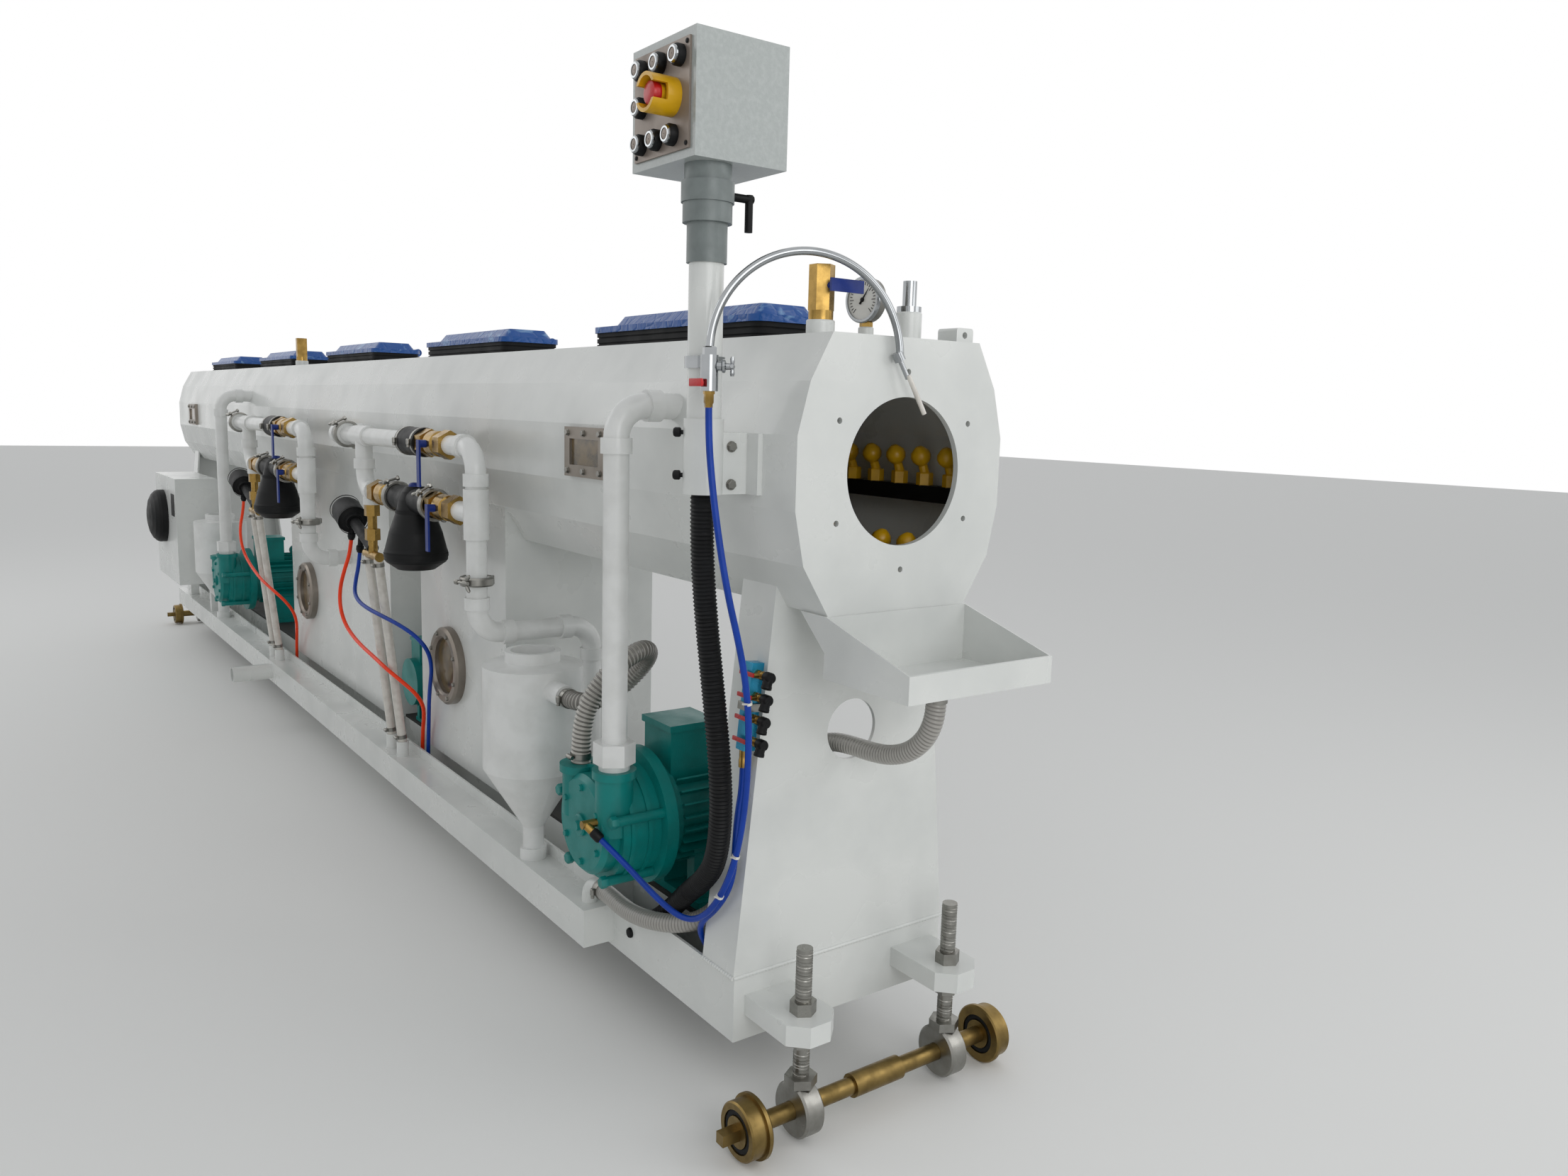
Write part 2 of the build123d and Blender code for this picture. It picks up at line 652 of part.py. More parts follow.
def lifting_lugs():
    """Folded lugs on the roof corners, with a sling hole along the line."""
    lugs = []
    for front in (SHELL_FRONT, SHELL_BACK + LUG_DEPTH):
        outer = ROOF_HALF - LUG_INSET
        lug = block((front, front - LUG_DEPTH), (outer - LUG_WIDTH, outer), (ROOF_Z, ROOF_Z + LUG_HEIGHT))
        lug = fillet(lug.edges().filter_by(Axis.X).group_by(Axis.Z)[-1], LUG_INSET)
        middle = (front + CUT, outer - LUG_WIDTH / 2, ROOF_Z + LUG_HEIGHT / 2)
        lugs.append(lug - bar(middle, (-1, 0, 0), LUG_DEPTH + 2 * CUT, LUG_HOLE))
    return lugs


def hatch_seals():
    """Ribbed rubber frames round the hatch openings."""
    seals = []
    for span in lid_spans():
        face = Plane.XY.offset(ROOF_Z) * (lid_outline(span, 0) - lid_outline(span, SEAL_BAND))
        seal = extrude(face, amount=SEAL_HEIGHT)
        for share in SEAL_GROOVE_SHARES:
            groove = lid_outline(span, -CUT) - lid_outline(span, SEAL_GROOVE)
            seal -= extrude(Plane.XY.offset(ROOF_Z + SEAL_HEIGHT * share) * groove, amount=SEAL_GROOVE)
        seals.append(seal)
    return seals


def hinge_places(span):
    """Front face of each of a lid's two knuckles."""
    inset = (span[0] - span[1]) * HINGE_INSET_SHARE
    return [span[0] - inset, span[1] + inset + HINGE_WIDTH]


def hatch_lid(span):
    """Flat lid with a raised pan, and two knuckles on its far edge."""
    lid = extrude(Plane.XY.offset(SEAL_TOP) * lid_outline(span, -LID_OVERHANG), amount=LID_EDGE)
    pan_span = (span[0] - LID_MARGIN, span[1] + LID_REAR_MARGIN)
    width = 2 * (SEAL_HALF_WIDTH - LID_MARGIN)
    pan = RectangleRounded(pan_span[0] - pan_span[1], width, LID_CORNER)
    pan = Plane.XY.offset(SEAL_TOP + LID_EDGE) * Pos((pan_span[0] + pan_span[1]) / 2, 0) * pan
    lid += extrude(pan, amount=LID_CROWN, taper=LID_SLOPE)
    for x in hinge_places(span):
        knuckle = bar((x, HINGE_Y, HINGE_Z), (-1, 0, 0), HINGE_WIDTH, HINGE_KNUCKLE)
        arm_z = (HINGE_Z - HINGE_RISE, HINGE_Z + HINGE_RISE)
        knuckle += block((x, x - HINGE_WIDTH), (SEAL_HALF_WIDTH, HINGE_Y), arm_z)
        lid += knuckle - bar((x, HINGE_Y, HINGE_Z), (-1, 0, 0), HINGE_WIDTH, HINGE_PIN + HINGE_PLAY)
    return lid


def hatch_hinges():
    """Hinge posts on the roof behind the lids, each with its pin."""
    hinges = []
    half = HINGE_KNUCKLE / 2
    for span in lid_spans():
        for x in hinge_places(span):
            front = x - HINGE_WIDTH - HINGE_SIDE_PLAY
            hinge = block((front, front - HINGE_WIDTH), (HINGE_Y - half, HINGE_Y + half), (ROOF_Z, HINGE_Z))
            hinge += bar((front, HINGE_Y, HINGE_Z), (-1, 0, 0), HINGE_WIDTH, HINGE_KNUCKLE)
            hinges.append(hinge + bar((front, HINGE_Y, HINGE_Z), (1, 0, 0), HINGE_WIDTH, HINGE_PIN))
    return hinges


def spray_bars():
    """Square water bars with capped ends, run between the end plates."""
    places = [(side * SPRAY_SIDE, -SPRAY_SIDE_DROP) for side in (-1, 1)]
    places += [(side * SPRAY_FLOOR_SIDE, -SPRAY_FLOOR_DROP) for side in (-1, 1)]
    half = SPRAY_BAR / 2
    bars = []
    for y, rise in places:
        z = LINE_HEIGHT + rise
        bars.append(block((SHELL_BACK, SHELL_FRONT), (y - half, y + half), (z - half, z + half)))
    return bars


def base_frame():
    """Hose trough with glands, and the welded far rail, end beams with lugs and cross beams."""
    inner = BASE_HALF_WIDTH - RAIL_WIDTH
    height = (BASE_BOTTOM, BASE_TOP)
    length = (BASE_BACK + END_BEAM_WIDTH, BASE_FRONT - END_BEAM_WIDTH)
    trough = block(length, (-BASE_HALF_WIDTH, -inner), height)
    open_y = (RAIL_WALL - BASE_HALF_WIDTH, -inner - RAIL_WALL)
    trough -= block(length, open_y, (TROUGH_FLOOR, BASE_TOP + CUT))
    end = CONDUIT_ROUTE[-1][0]
    trough += block((end - BULKHEAD, end), open_y, (TROUGH_FLOOR, BASE_TOP))
    for route in (BLOCK_HOSE_ROUTE, FRONT_AIR_ROUTE, REAR_AIR_ROUTE, SIGNAL_ROUTE):
        x, y, z = route[-1]
        trough += bar((x, y, TROUGH_FLOOR), (0, 0, 1), z - TROUGH_FLOOR, GLAND)
    frame = block(length, (inner, BASE_HALF_WIDTH), height)
    for face, way in ((BASE_FRONT, 1), (BASE_BACK, -1)):
        beam = block((face, face - way * END_BEAM_WIDTH), (-BASE_HALF_WIDTH, BASE_HALF_WIDTH), height)
        for side in (-1, 1):
            beam += jack_lug(face, way, side)
        frame += beam
    for share in CROSS_BEAM_SHARES:
        x = length[1] + (length[0] - length[1]) * share
        frame += block((x, x - CROSS_BEAM_WIDTH), (-inner, inner), height)
    return trough, frame


def jack_lug(face, way, side):
    """Lug with clipped corners that carries one jack screw."""
    reach = AXLE_AHEAD + JACK_LUG_WIDTH / 2
    half = JACK_LUG_WIDTH / 2
    clip = JACK_LUG_CHAMFER
    outline = [(0, -half), (reach - clip, -half), (reach, clip - half)]
    outline += [(x, -y) for x, y in reversed(outline)]
    points = [(face + way * x, side * SCREW_OFFSET + y) for x, y in outline]
    low = JACK_LUG_HEIGHT - JACK_LUG / 2
    lug = extrude(Plane.XY.offset(low) * make_face(Polyline(*points, close=True)), amount=JACK_LUG)
    hole = (face + way * AXLE_AHEAD, side * SCREW_OFFSET, low - CUT)
    return lug - bar(hole, (0, 0, 1), JACK_LUG + 2 * CUT, SCREW_DIAMETER)


def bay_plates():
    """Floor plates over the trough and rails in the pump bays."""
    edges = [(BASE_FRONT - PEDESTAL_DEPTH, -FRONT_BOX_FRONT), (-FRONT_BOX_BACK, -REAR_BOX_FRONT)]
    edges.append((-REAR_BOX_BACK, BASE_BACK + PEDESTAL_DEPTH))
    return [block(x, (BAY_EDGE, BASE_HALF_WIDTH), (BASE_TOP, BAY_FLOOR)) for x in edges]


def pedestal(face, way, tank):
    """Tapered column folded from plate, open on its inner side, between the base and the tank's keel."""
    def column(grow, near, far):
        foot = PEDESTAL_FOOT_HALF + grow
        head = PEDESTAL_HEAD_HALF + grow
        outline = [(-foot, BASE_TOP), (foot, BASE_TOP), (head, LINE_HEIGHT), (-head, LINE_HEIGHT)]
        return across(outline, max(near, far), min(near, far))
    inside = face - way * PEDESTAL_WALL
    back = face - way * PEDESTAL_DEPTH
    shape = column(0, face, back) - column(-PEDESTAL_WALL, inside, back - way * CUT) - tank
    return shape.solids().sort_by(Axis.Z)[0]


def axle(x):
    """Shaft through both eyes, with a middle sleeve and a square end for a crank."""
    half = WHEEL_OFFSET + WHEEL_WIDTH / 2
    start = (x, half, AXLE_HEIGHT)
    shaft = bar(start, (0, -1, 0), 2 * half, AXLE_DIAMETER)
    sleeve_start = (x, AXLE_SLEEVE_LENGTH / 2, AXLE_HEIGHT)
    shaft += bar(sleeve_start, (0, -1, 0), AXLE_SLEEVE_LENGTH, AXLE_SLEEVE)
    square = AXLE_SQUARE / 2
    end_z = (AXLE_HEIGHT - square, AXLE_HEIGHT + square)
    return shaft + block((x - square, x + square), (-half - AXLE_END, -half), end_z)


def wheels(x):
    """Flanged rail wheels with recessed faces, pressed on the shaft."""
    pair = []
    rim = WHEEL_DIAMETER - 2 * WHEEL_RIM
    deep = WHEEL_WIDTH - WHEEL_RECESS
    outline = [(0, WHEEL_HUB), (WHEEL_RECESS, WHEEL_HUB), (WHEEL_RECESS, rim), (0, rim)]
    outline += [(0, WHEEL_FLANGE - 2 * WHEEL_EDGE), (WHEEL_EDGE, WHEEL_FLANGE)]
    outline.append((WHEEL_FLANGE_WIDTH, WHEEL_FLANGE))
    outline += [(WHEEL_FLANGE_WIDTH, WHEEL_DIAMETER), (WHEEL_WIDTH - WHEEL_EDGE, WHEEL_DIAMETER)]
    outline += [(WHEEL_WIDTH, WHEEL_DIAMETER - 2 * WHEEL_EDGE), (WHEEL_WIDTH, rim), (deep, rim)]
    outline += [(deep, WHEEL_HUB), (WHEEL_WIDTH, WHEEL_HUB)]
    for side in (-1, 1):
        inner = (x, side * (WHEEL_OFFSET - WHEEL_WIDTH / 2), AXLE_HEIGHT)
        wheel = turned(inner, (0, side, 0), outline)
        pair.append(wheel - bar(inner, (0, side, 0), WHEEL_WIDTH, AXLE_DIAMETER))
    return pair


def jack_screws(x):
    """Threaded eye screws with a nut above and below their lug."""
    pair = []
    for side in (-1, 1):
        y = side * SCREW_OFFSET
        screw = bar((x, y, AXLE_HEIGHT), (0, 0, 1), SCREW_TOP - AXLE_HEIGHT, SCREW_DIAMETER)
        edge = EYE_DIAMETER - 2 * EYE_EDGE
        outline = [(0, edge), (EYE_EDGE, EYE_DIAMETER), (EYE_WIDTH - EYE_EDGE, EYE_DIAMETER)]
        outline.append((EYE_WIDTH, edge))
        eye = turned((x, y - EYE_WIDTH / 2, AXLE_HEIGHT), (0, 1, 0), outline)
        crown = (x, y, AXLE_HEIGHT + EYE_DIAMETER / 2 - EYE_EDGE)
        eye += hexagon(crown, (0, 0, 1), EYE_COLLAR_HEIGHT, EYE_COLLAR)
        low = JACK_LUG_HEIGHT - JACK_LUG / 2
        high = JACK_LUG_HEIGHT + JACK_LUG / 2
        nuts = hexagon((x, y, low - JACK_NUT_HEIGHT), (0, 0, 1), JACK_NUT_HEIGHT, JACK_NUT)
        nuts += hexagon((x, y, high), (0, 0, 1), JACK_NUT_HEIGHT, JACK_NUT)
        hole = bar((x, y - EYE_WIDTH, AXLE_HEIGHT), (0, 1, 0), 2 * EYE_WIDTH, AXLE_DIAMETER + EYE_PLAY)
        pair.append(screw + eye + nuts - hole)
    return pair


def catch_tray(tank):
    """Folded tray hung from the end plate's lower edge."""
    top = LINE_HEIGHT - TANK_DROP * LOWER_BEND_SHARES[-1][1]
    side = [(0, top), (TRAY_REACH, LINE_HEIGHT - TRAY_LIP_DROP), (TRAY_REACH, TRAY_FLOOR_HEIGHT)]
    side += [(0, TRAY_FLOOR_HEIGHT), (0, LINE_HEIGHT - TRAY_WING_DROP), (-TRAY_WING, top)]
    profile = make_face(Polyline(*side, close=True))
    outer = extrude(Plane.XZ.offset(-TRAY_HALF_WIDTH) * profile, amount=2 * TRAY_HALF_WIDTH)
    inner_half = TRAY_HALF_WIDTH - TRAY_SHEET
    inside = (TRAY_SHEET, TRAY_REACH - TRAY_SHEET)
    high = LINE_HEIGHT
    tray = outer - block(inside, (-inner_half, inner_half), (TRAY_FLOOR_HEIGHT + TRAY_SHEET, high))
    behind = (-2 * TRAY_WING, 0)
    tray -= block(behind, (-inner_half, inner_half), (TRAY_FLOOR_HEIGHT - CUT, high))
    tray = (tray - tank).solids().sort_by(SortBy.VOLUME)[-1]
    x, y = TRAY_HOSE_ROUTE[0][:2]
    return tray + bar((x, y, TRAY_FLOOR_HEIGHT), (0, 0, -1), TRAY_OUTLET_LENGTH, TRAY_OUTLET)


def spigot_places():
    """Distance behind the inlet of each hose spigot on the drain header."""
    spread = DRAIN_VALVE_SPREAD / 2
    first = STATION_X + DRAIN_VALVE_TOP_X
    return [first + pitch + side for pitch in (0, STATION_PITCH) for side in (-spread, spread)]


def drain_header():
    """Closed box pipe along the base with hose spigots and a drain outlet."""
    y = (-BASE_HALF_WIDTH - HEADER_WIDTH, -BASE_HALF_WIDTH)
    header = block((-HEADER_BACK, -HEADER_FRONT), y, (HEADER_BOTTOM, HEADER_TOP))
    for x in spigot_places():
        header += bar((-x, -HEADER_MID_Y, HEADER_TOP), (0, 0, 1), SPIGOT_HEIGHT, SPIGOT_DIAMETER)
    elbow_x = SPIGOT_DIAMETER - HEADER_FRONT - SPIGOT_HEIGHT - SPIGOT_DIAMETER
    elbow = [(elbow_x, -HEADER_MID_Y, HEADER_TOP), (elbow_x, -HEADER_MID_Y, HEADER_TOP + SPIGOT_HEIGHT)]
    elbow.append((elbow_x + SPIGOT_HEIGHT, -HEADER_MID_Y, HEADER_TOP + SPIGOT_HEIGHT))
    header += pipe(elbow, SPIGOT_DIAMETER, SPIGOT_DIAMETER)
    outlet = (-OUTLET_X, y[0], (HEADER_BOTTOM + HEADER_TOP) / 2)
    header += bar(outlet, (0, -1, 0), OUTLET_REACH, OUTLET_DIAMETER)
    return header - bar(outlet, (0, -1, 0), OUTLET_REACH, OUTLET_BORE)


def water_boxes(tank):
    """Closed water boxes that carry the tank between the pump bays."""
    boxes = []
    for front, back in ((FRONT_BOX_FRONT, FRONT_BOX_BACK), (REAR_BOX_FRONT, REAR_BOX_BACK)):
        body = block((-back, -front), (-BOX_HALF_WIDTH, BOX_HALF_WIDTH), (BASE_TOP, LINE_HEIGHT))
        boxes.append((body - tank).solids().sort_by(Axis.Z)[0])
    return boxes


def sight_ports():
    """Round port rims on the water boxes and framed windows on the tank side, with their glasses."""
    rims = []
    glasses = []
    for x in PORT_PLACES:
        face = (-x, -BOX_HALF_WIDTH, PORT_HEIGHT)
        rim = bar(face, (0, -1, 0), PORT_RIM, PORT_DIAMETER) - bar(face, (0, -1, 0), PORT_RIM, PORT_SIGHT)
        rims.append(chamfer(rim.edges().group_by(Axis.Y)[0], PORT_CHAMFER))
        glasses.append(bar(face, (0, -1, 0), PORT_GLASS, PORT_SIGHT))
    wall = -TANK_HALF_WIDTH
    half = WINDOW_HEIGHT / 2
    for x in (WINDOW_FRONT_X, WINDOW_REAR_X):
        ends = (-x - WINDOW_LENGTH / 2, -x + WINDOW_LENGTH / 2)
        frame = block(ends, (wall - WINDOW_FRAME, wall), (LINE_HEIGHT - half, LINE_HEIGHT + half))
        sight_x = (ends[0] + WINDOW_BORDER, ends[1] - WINDOW_BORDER)
        sight_z = (LINE_HEIGHT - half + WINDOW_BORDER, LINE_HEIGHT + half - WINDOW_BORDER)
        rims.append(frame - block(sight_x, (wall - WINDOW_FRAME, wall), sight_z))
        glasses.append(block(sight_x, (wall - WINDOW_GLASS, wall), sight_z))
    return rims, glasses


def vacuum_pump(x):
    """Liquid ring pump: ribbed turned body with a cover, tie bolts and two upright ports."""
    z = PUMP_AXIS_HEIGHT
    ahead = (0, 1, 0)
    length = PUMP_HEAD_LENGTH
    end = length + PUMP_FLANGE_LENGTH
    outline = [(0, PUMP_COVER - 2 * PUMP_EDGE), (PUMP_EDGE, PUMP_COVER), (PUMP_COVER_LENGTH, PUMP_COVER)]
    outline.append((PUMP_COVER_LENGTH, PUMP_HEAD_DIAMETER))
    for share in PUMP_RIB_SHARES:
        near = length * share
        far = near + PUMP_RIB_WIDTH
        outline += [(near, PUMP_HEAD_DIAMETER), (near, PUMP_RIB), (far, PUMP_RIB), (far, PUMP_HEAD_DIAMETER)]
    outline += [(length, PUMP_HEAD_DIAMETER), (length, PUMP_FLANGE), (end, PUMP_FLANGE)]
    pump = turned((x, -PUMP_FACE, z), ahead, outline)
    for side, drop in ((-1, PUMP_OUTLET_DROP), (1, 0)):
        port = (x + side * PUMP_PORT_SPACING / 2, PUMP_PORT_BACK - PUMP_FACE, z)
        height = PUMP_PORT_HEIGHT - drop - z
        lip = height - PUMP_PORT_LIP
        steps = [(0, PUMP_PORT), (lip, PUMP_PORT), (lip, PUMP_PORT_COLLAR), (height, PUMP_PORT_COLLAR)]
        pump += turned(port, (0, 0, 1), steps)
    for angle in PUMP_TIE_ANGLES:
        out = PUMP_TIE_CIRCLE / 2
        middle = PUMP_COVER_LENGTH / 2
        tie = (x + out * cos(radians(angle)), middle - PUMP_FACE, z + out * sin(radians(angle)))
        pump += bar(tie, ahead, length - middle, PUMP_TIE)
    return pump


def seal_water_fitting():
    """Elbow on the front pump's cover that takes the spout's hose."""
    end = Vector(*SPOUT_HOSE_ROUTE[-1])
    way = (Vector(*SPOUT_HOSE_ROUTE[-2]) - end).normalized()
    root = end - way * AIR_FITTING_REACH / 2
    elbow = bar(root, way, AIR_FITTING_REACH / 2, AIR_FITTING)
    port_y = PUMP_PORT_BACK - PUMP_FACE
    elbow += bar((root.X, port_y, root.Z), (0, -1, 0), port_y - root.Y + AIR_FITTING / 2, AIR_FITTING)
    return (elbow - vacuum_pump(-PUMP_X)).solids().sort_by(Axis.Y)[0]


def pump_motor(x, flange_y, z, scale):
    """Finned flange motor with fan cowl, terminal box, lifting eye and feet."""
    ahead = (0, 1, 0)
    length = MOTOR_LENGTH * scale
    wide = MOTOR_DIAMETER * scale
    bell = wide * MOTOR_BELL_SHARE
    core = wide * MOTOR_CORE_SHARE
    cowl = wide * MOTOR_COWL_SHARE
    near, far, edge = [length * share for share in MOTOR_LENGTH_SHARES]
    outline = [(0, bell), (near, bell), (near, core), (far, core), (far, cowl), (edge, cowl)]
    body = turned((x, flange_y, z), ahead, outline + [(length, wide * MOTOR_CAP_SHARE)])
    fins = Rectangle(wide, MOTOR_FIN * scale)
    for i in range(1, MOTOR_FIN_PAIRS):
        fins += Rot(0, 0, 180 * i / MOTOR_FIN_PAIRS) * Rectangle(wide, MOTOR_FIN * scale)
    body += extrude(Plane((x, flange_y + near, z), z_dir=ahead) * fins, amount=far - near)
    half = MOTOR_TERMINAL * scale / 2
    box_front = flange_y + MOTOR_TERMINAL_BACK * scale
    box_y = (box_front, box_front + MOTOR_TERMINAL * scale)
    box_top = z + (MOTOR_DIAMETER / 2 + MOTOR_TERMINAL_HEIGHT) * scale
    body += block((x - half, x + half), box_y, (z, box_top))
    over = MOTOR_TERMINAL_LID * scale
    lid_z = (box_top - MOTOR_TERMINAL_LID_HEIGHT * scale, box_top)
    body += block((x - half - over, x + half + over), (box_y[0] - over, box_y[1] + over), lid_z)
    eye_y = flange_y + length * MOTOR_EYE_SHARE
    eye = (x - MOTOR_EYE_WIDTH * scale / 2, eye_y, z + wide / 2 + MOTOR_EYE_HOLE * scale / 2)
    body += bar(eye, (1, 0, 0), MOTOR_EYE_WIDTH * scale, MOTOR_EYE * scale)
    body -= bar(eye, (1, 0, 0), MOTOR_EYE_WIDTH * scale, MOTOR_EYE_HOLE * scale)
    foot = MOTOR_FOOT_WIDTH * scale / 2
    foot_y = (BAY_EDGE + MOTOR_FOOT_INSET, flange_y + MOTOR_FOOT_LENGTH * scale)
    body += block((x - foot, x + foot), foot_y, (BAY_FLOOR, BAY_FLOOR + MOTOR_FOOT_PLATE * scale))
    for side in (-1, 1):
        web = [x + side * foot * share for share in MOTOR_WEB_SHARES]
        body += block((min(web), max(web)), foot_y, (BAY_FLOOR, z))
    return body


def separator(x):
    """Cyclone body with open collar, side inlet and foot pipe on the header."""
    foot = (-x, -HEADER_MID_Y, HEADER_TOP)
    heights = [z - HEADER_TOP for z in (SEPARATOR_CONE_FOOT, SEPARATOR_CONE_TOP, SEPARATOR_TOP)]
    collar = heights[2] + SEPARATOR_COLLAR_HEIGHT
    outline = [(0, SEPARATOR_SOCKET), (SEPARATOR_SOCKET_HEIGHT, SEPARATOR_SOCKET)]
    outline += [(SEPARATOR_SOCKET_HEIGHT, SEPARATOR_PIPE), (heights[0], SEPARATOR_PIPE)]
    outline += [(heights[1], SEPARATOR_DIAMETER), (heights[2] - SEPARATOR_SHOULDER, SEPARATOR_DIAMETER)]
    outline += [(heights[2], SEPARATOR_COLLAR), (collar, SEPARATOR_COLLAR)]
    body = turned(foot, (0, 0, 1), outline)
    reach = SEPARATOR_DIAMETER / 2 + SEPARATOR_INLET_REACH
    body += bar((-x, -HEADER_MID_Y, SEPARATOR_INLET_HEIGHT), (1, 0, 0), reach, SEPARATOR_INLET)
    mouth = (-x, -HEADER_MID_Y, SEPARATOR_TOP - SEPARATOR_COLLAR_HEIGHT)
    return body - bar(mouth, (0, 0, 1), 2 * SEPARATOR_COLLAR_HEIGHT, SEPARATOR_COLLAR_BORE)


def suction_pipe(x, tank):
    """Upright suction pipe from the pump's union to the tank's upper side."""
    points = [(x, -PIPE_Y, PUMP_PORT_HEIGHT), (x, -PIPE_Y, SUCTION_TOP), (x, 0, SUCTION_TOP)]
    line = glued_pipe(points)
    line += bar((x, -PIPE_Y, PUMP_PORT_HEIGHT), (0, 0, 1), UNION_FOOT + UNION_HEIGHT, PIPE + UNION_FOOT)
    line += hexagon((x, -PIPE_Y, PUMP_PORT_HEIGHT + UNION_FOOT), (0, 0, 1), UNION_HEIGHT, UNION_DIAMETER)
    return (line - tank).solids().sort_by(Axis.Z)[0]


def station_pipes(pitch, tail, tank):
    """White pipes of one vacuum station: from the tank to the valves, and from them down to the floor."""
    drop_x = -STATION_X - pitch
    end_x = drop_x - STATION_END
    tee_x = drop_x - STATION_TEE
    inlet = [(end_x, 0, STATION_TOP), (end_x, -PIPE_Y, STATION_TOP)]
    inlet.append((drop_x - UPPER_SLEEVE_BACK, -PIPE_Y, STATION_TOP))
    branch = [(tee_x, -PIPE_Y, STATION_TOP), (tee_x, -PIPE_Y, STATION_LOW)]
    branch.append((drop_x - LOWER_UNION_BACK, -PIPE_Y, STATION_LOW))
    first = glued_pipe(inlet) + glued_pipe(branch)
    first += bar((tee_x - SOCKET, -PIPE_Y, STATION_TOP), (1, 0, 0), 2 * SOCKET, SOCKET)
    first += bar((end_x + STATION_CLAMP, -PIPE_Y, STATION_TOP), (1, 0, 0), FERRULE_WIDTH, FERRULE)
    drain = (drop_x - DRAIN_VALVE_TOP_X, -PIPE_Y, STATION_LOW)
    first += bar(drain, (0, 0, -1), DRAIN_STUB, PIPE)
    first = (first - tank).solids().sort_by(Axis.Y)[0]
    drop = [(drop_x - UPPER_VALVE_FRONT, -PIPE_Y, STATION_TOP), (drop_x, -PIPE_Y, STATION_TOP)]
    drop += [(drop_x, -PIPE_Y, STATION_FOOT)] + [(drop_x, y, z) for y, z in tail]
    side = [(drop_x - LOWER_VALVE_FRONT, -PIPE_Y, STATION_LOW), (drop_x, -PIPE_Y, STATION_LOW)]
    second = glued_pipe(drop) + glued_pipe(side)
    second += bar((drop_x, -PIPE_Y, STATION_LOW - SOCKET), (0, 0, 1), 2 * SOCKET, SOCKET)
    clamp = (drop_x, -PIPE_Y, STATION_TOP - STATION_CLAMP_DROP)
    return [first, second + bar(clamp, (0, 0, 1), FERRULE_WIDTH, FERRULE)]


def station_valves(pitch):
    """Brass valve bodies and union of one station."""
    drop_x = -STATION_X - pitch
    along = (1, 0, 0)

    def valve(back, front, z):
        start = (drop_x - back, -PIPE_Y, z)
        body = turned(start, along, shared(VALVE_SHARES, back - front, VALVE_DIAMETER))
        hex_length = (back - front) * VALVE_HEX_SHARE
        body += hexagon(start, along, hex_length, VALVE_HEX)
        return body + hexagon((drop_x - front - hex_length, -PIPE_Y, z), along, hex_length, VALVE_HEX)
    valves = [valve(UPPER_VALVE_BACK, UPPER_VALVE_FRONT, STATION_TOP)]
    valves.append(valve(LOWER_VALVE_BACK, LOWER_VALVE_FRONT, STATION_LOW))
    valves.append(valve(LOWER_UNION_BACK, FILTER_BACK, STATION_LOW))
    return valves


def station_sleeve(pitch):
    """Black rubber sleeve behind the upper valve."""
    start = (-STATION_X - pitch - UPPER_SLEEVE_BACK, -PIPE_Y, STATION_TOP)
    return bar(start, (1, 0, 0), UPPER_SLEEVE_BACK - UPPER_VALVE_BACK, SLEEVE_DIAMETER)


def station_filter(pitch):
    """Black filter: a horizontal neck with a turned bowl that widens downwards."""
    drop_x = -STATION_X - pitch
    start = (drop_x - FILTER_BACK, -PIPE_Y, STATION_LOW)
    length = FILTER_BACK - LOWER_VALVE_BACK
    neck = bar(start, (1, 0, 0), length, FILTER_NECK)
    top = (start[0] + length / 2, -PIPE_Y, STATION_LOW + FILTER_CAP)
    return neck + turned(top, (0, 0, -1), shared(FILTER_SHARES, FILTER_HEIGHT, FILTER_DIAMETER))


def station_levers(pitch):
    """Hanging levers of the two ball valves."""
    levers = []
    drop_x = -STATION_X - pitch
    for back, front, z in ((UPPER_VALVE_BACK, UPPER_VALVE_FRONT, STATION_TOP),
                           (LOWER_VALVE_BACK, LOWER_VALVE_FRONT, STATION_LOW)):
        x = drop_x - (back + front) / 2
        face = -PIPE_Y - VALVE_DIAMETER / 2
        outer = face - LEVER_STAND
        half = LEVER_WIDTH / 2
        lever = block((x - half, x + half), (outer - LEVER_THICKNESS, outer), (z - LEVER_LENGTH, z + half))
        levers.append(lever + bar((x, outer, z), (0, 1, 0), LEVER_STAND, LEVER_WIDTH))
    return levers


def drain_valve(pitch):
    """Brass drain valve under the branch elbow, with two hose tails."""
    x = -STATION_X - pitch - DRAIN_VALVE_TOP_X
    top = STATION_LOW - DRAIN_STUB
    body = bar((x, -PIPE_Y, top), (0, 0, -1), top - DRAIN_VALVE_FOOT, DRAIN_VALVE_PIPE)
    spread = DRAIN_VALVE_SPREAD / 2
    start = (x - spread - DRAIN_VALVE_PIPE / 2, -PIPE_Y, DRAIN_VALVE_FOOT)
    body += hexagon((x, -PIPE_Y, top), (0, 0, -1), DRAIN_VALVE_HEX_LENGTH, DRAIN_VALVE_HEX)
    nut = (x, -PIPE_Y, DRAIN_VALVE_FOOT + DRAIN_VALVE_HEX)
    body += hexagon(nut, (0, 0, 1), DRAIN_VALVE_HEX_LENGTH, DRAIN_VALVE_HEX)
    return body + bar(start, (1, 0, 0), 2 * spread + DRAIN_VALVE_PIPE, DRAIN_VALVE_PIPE)


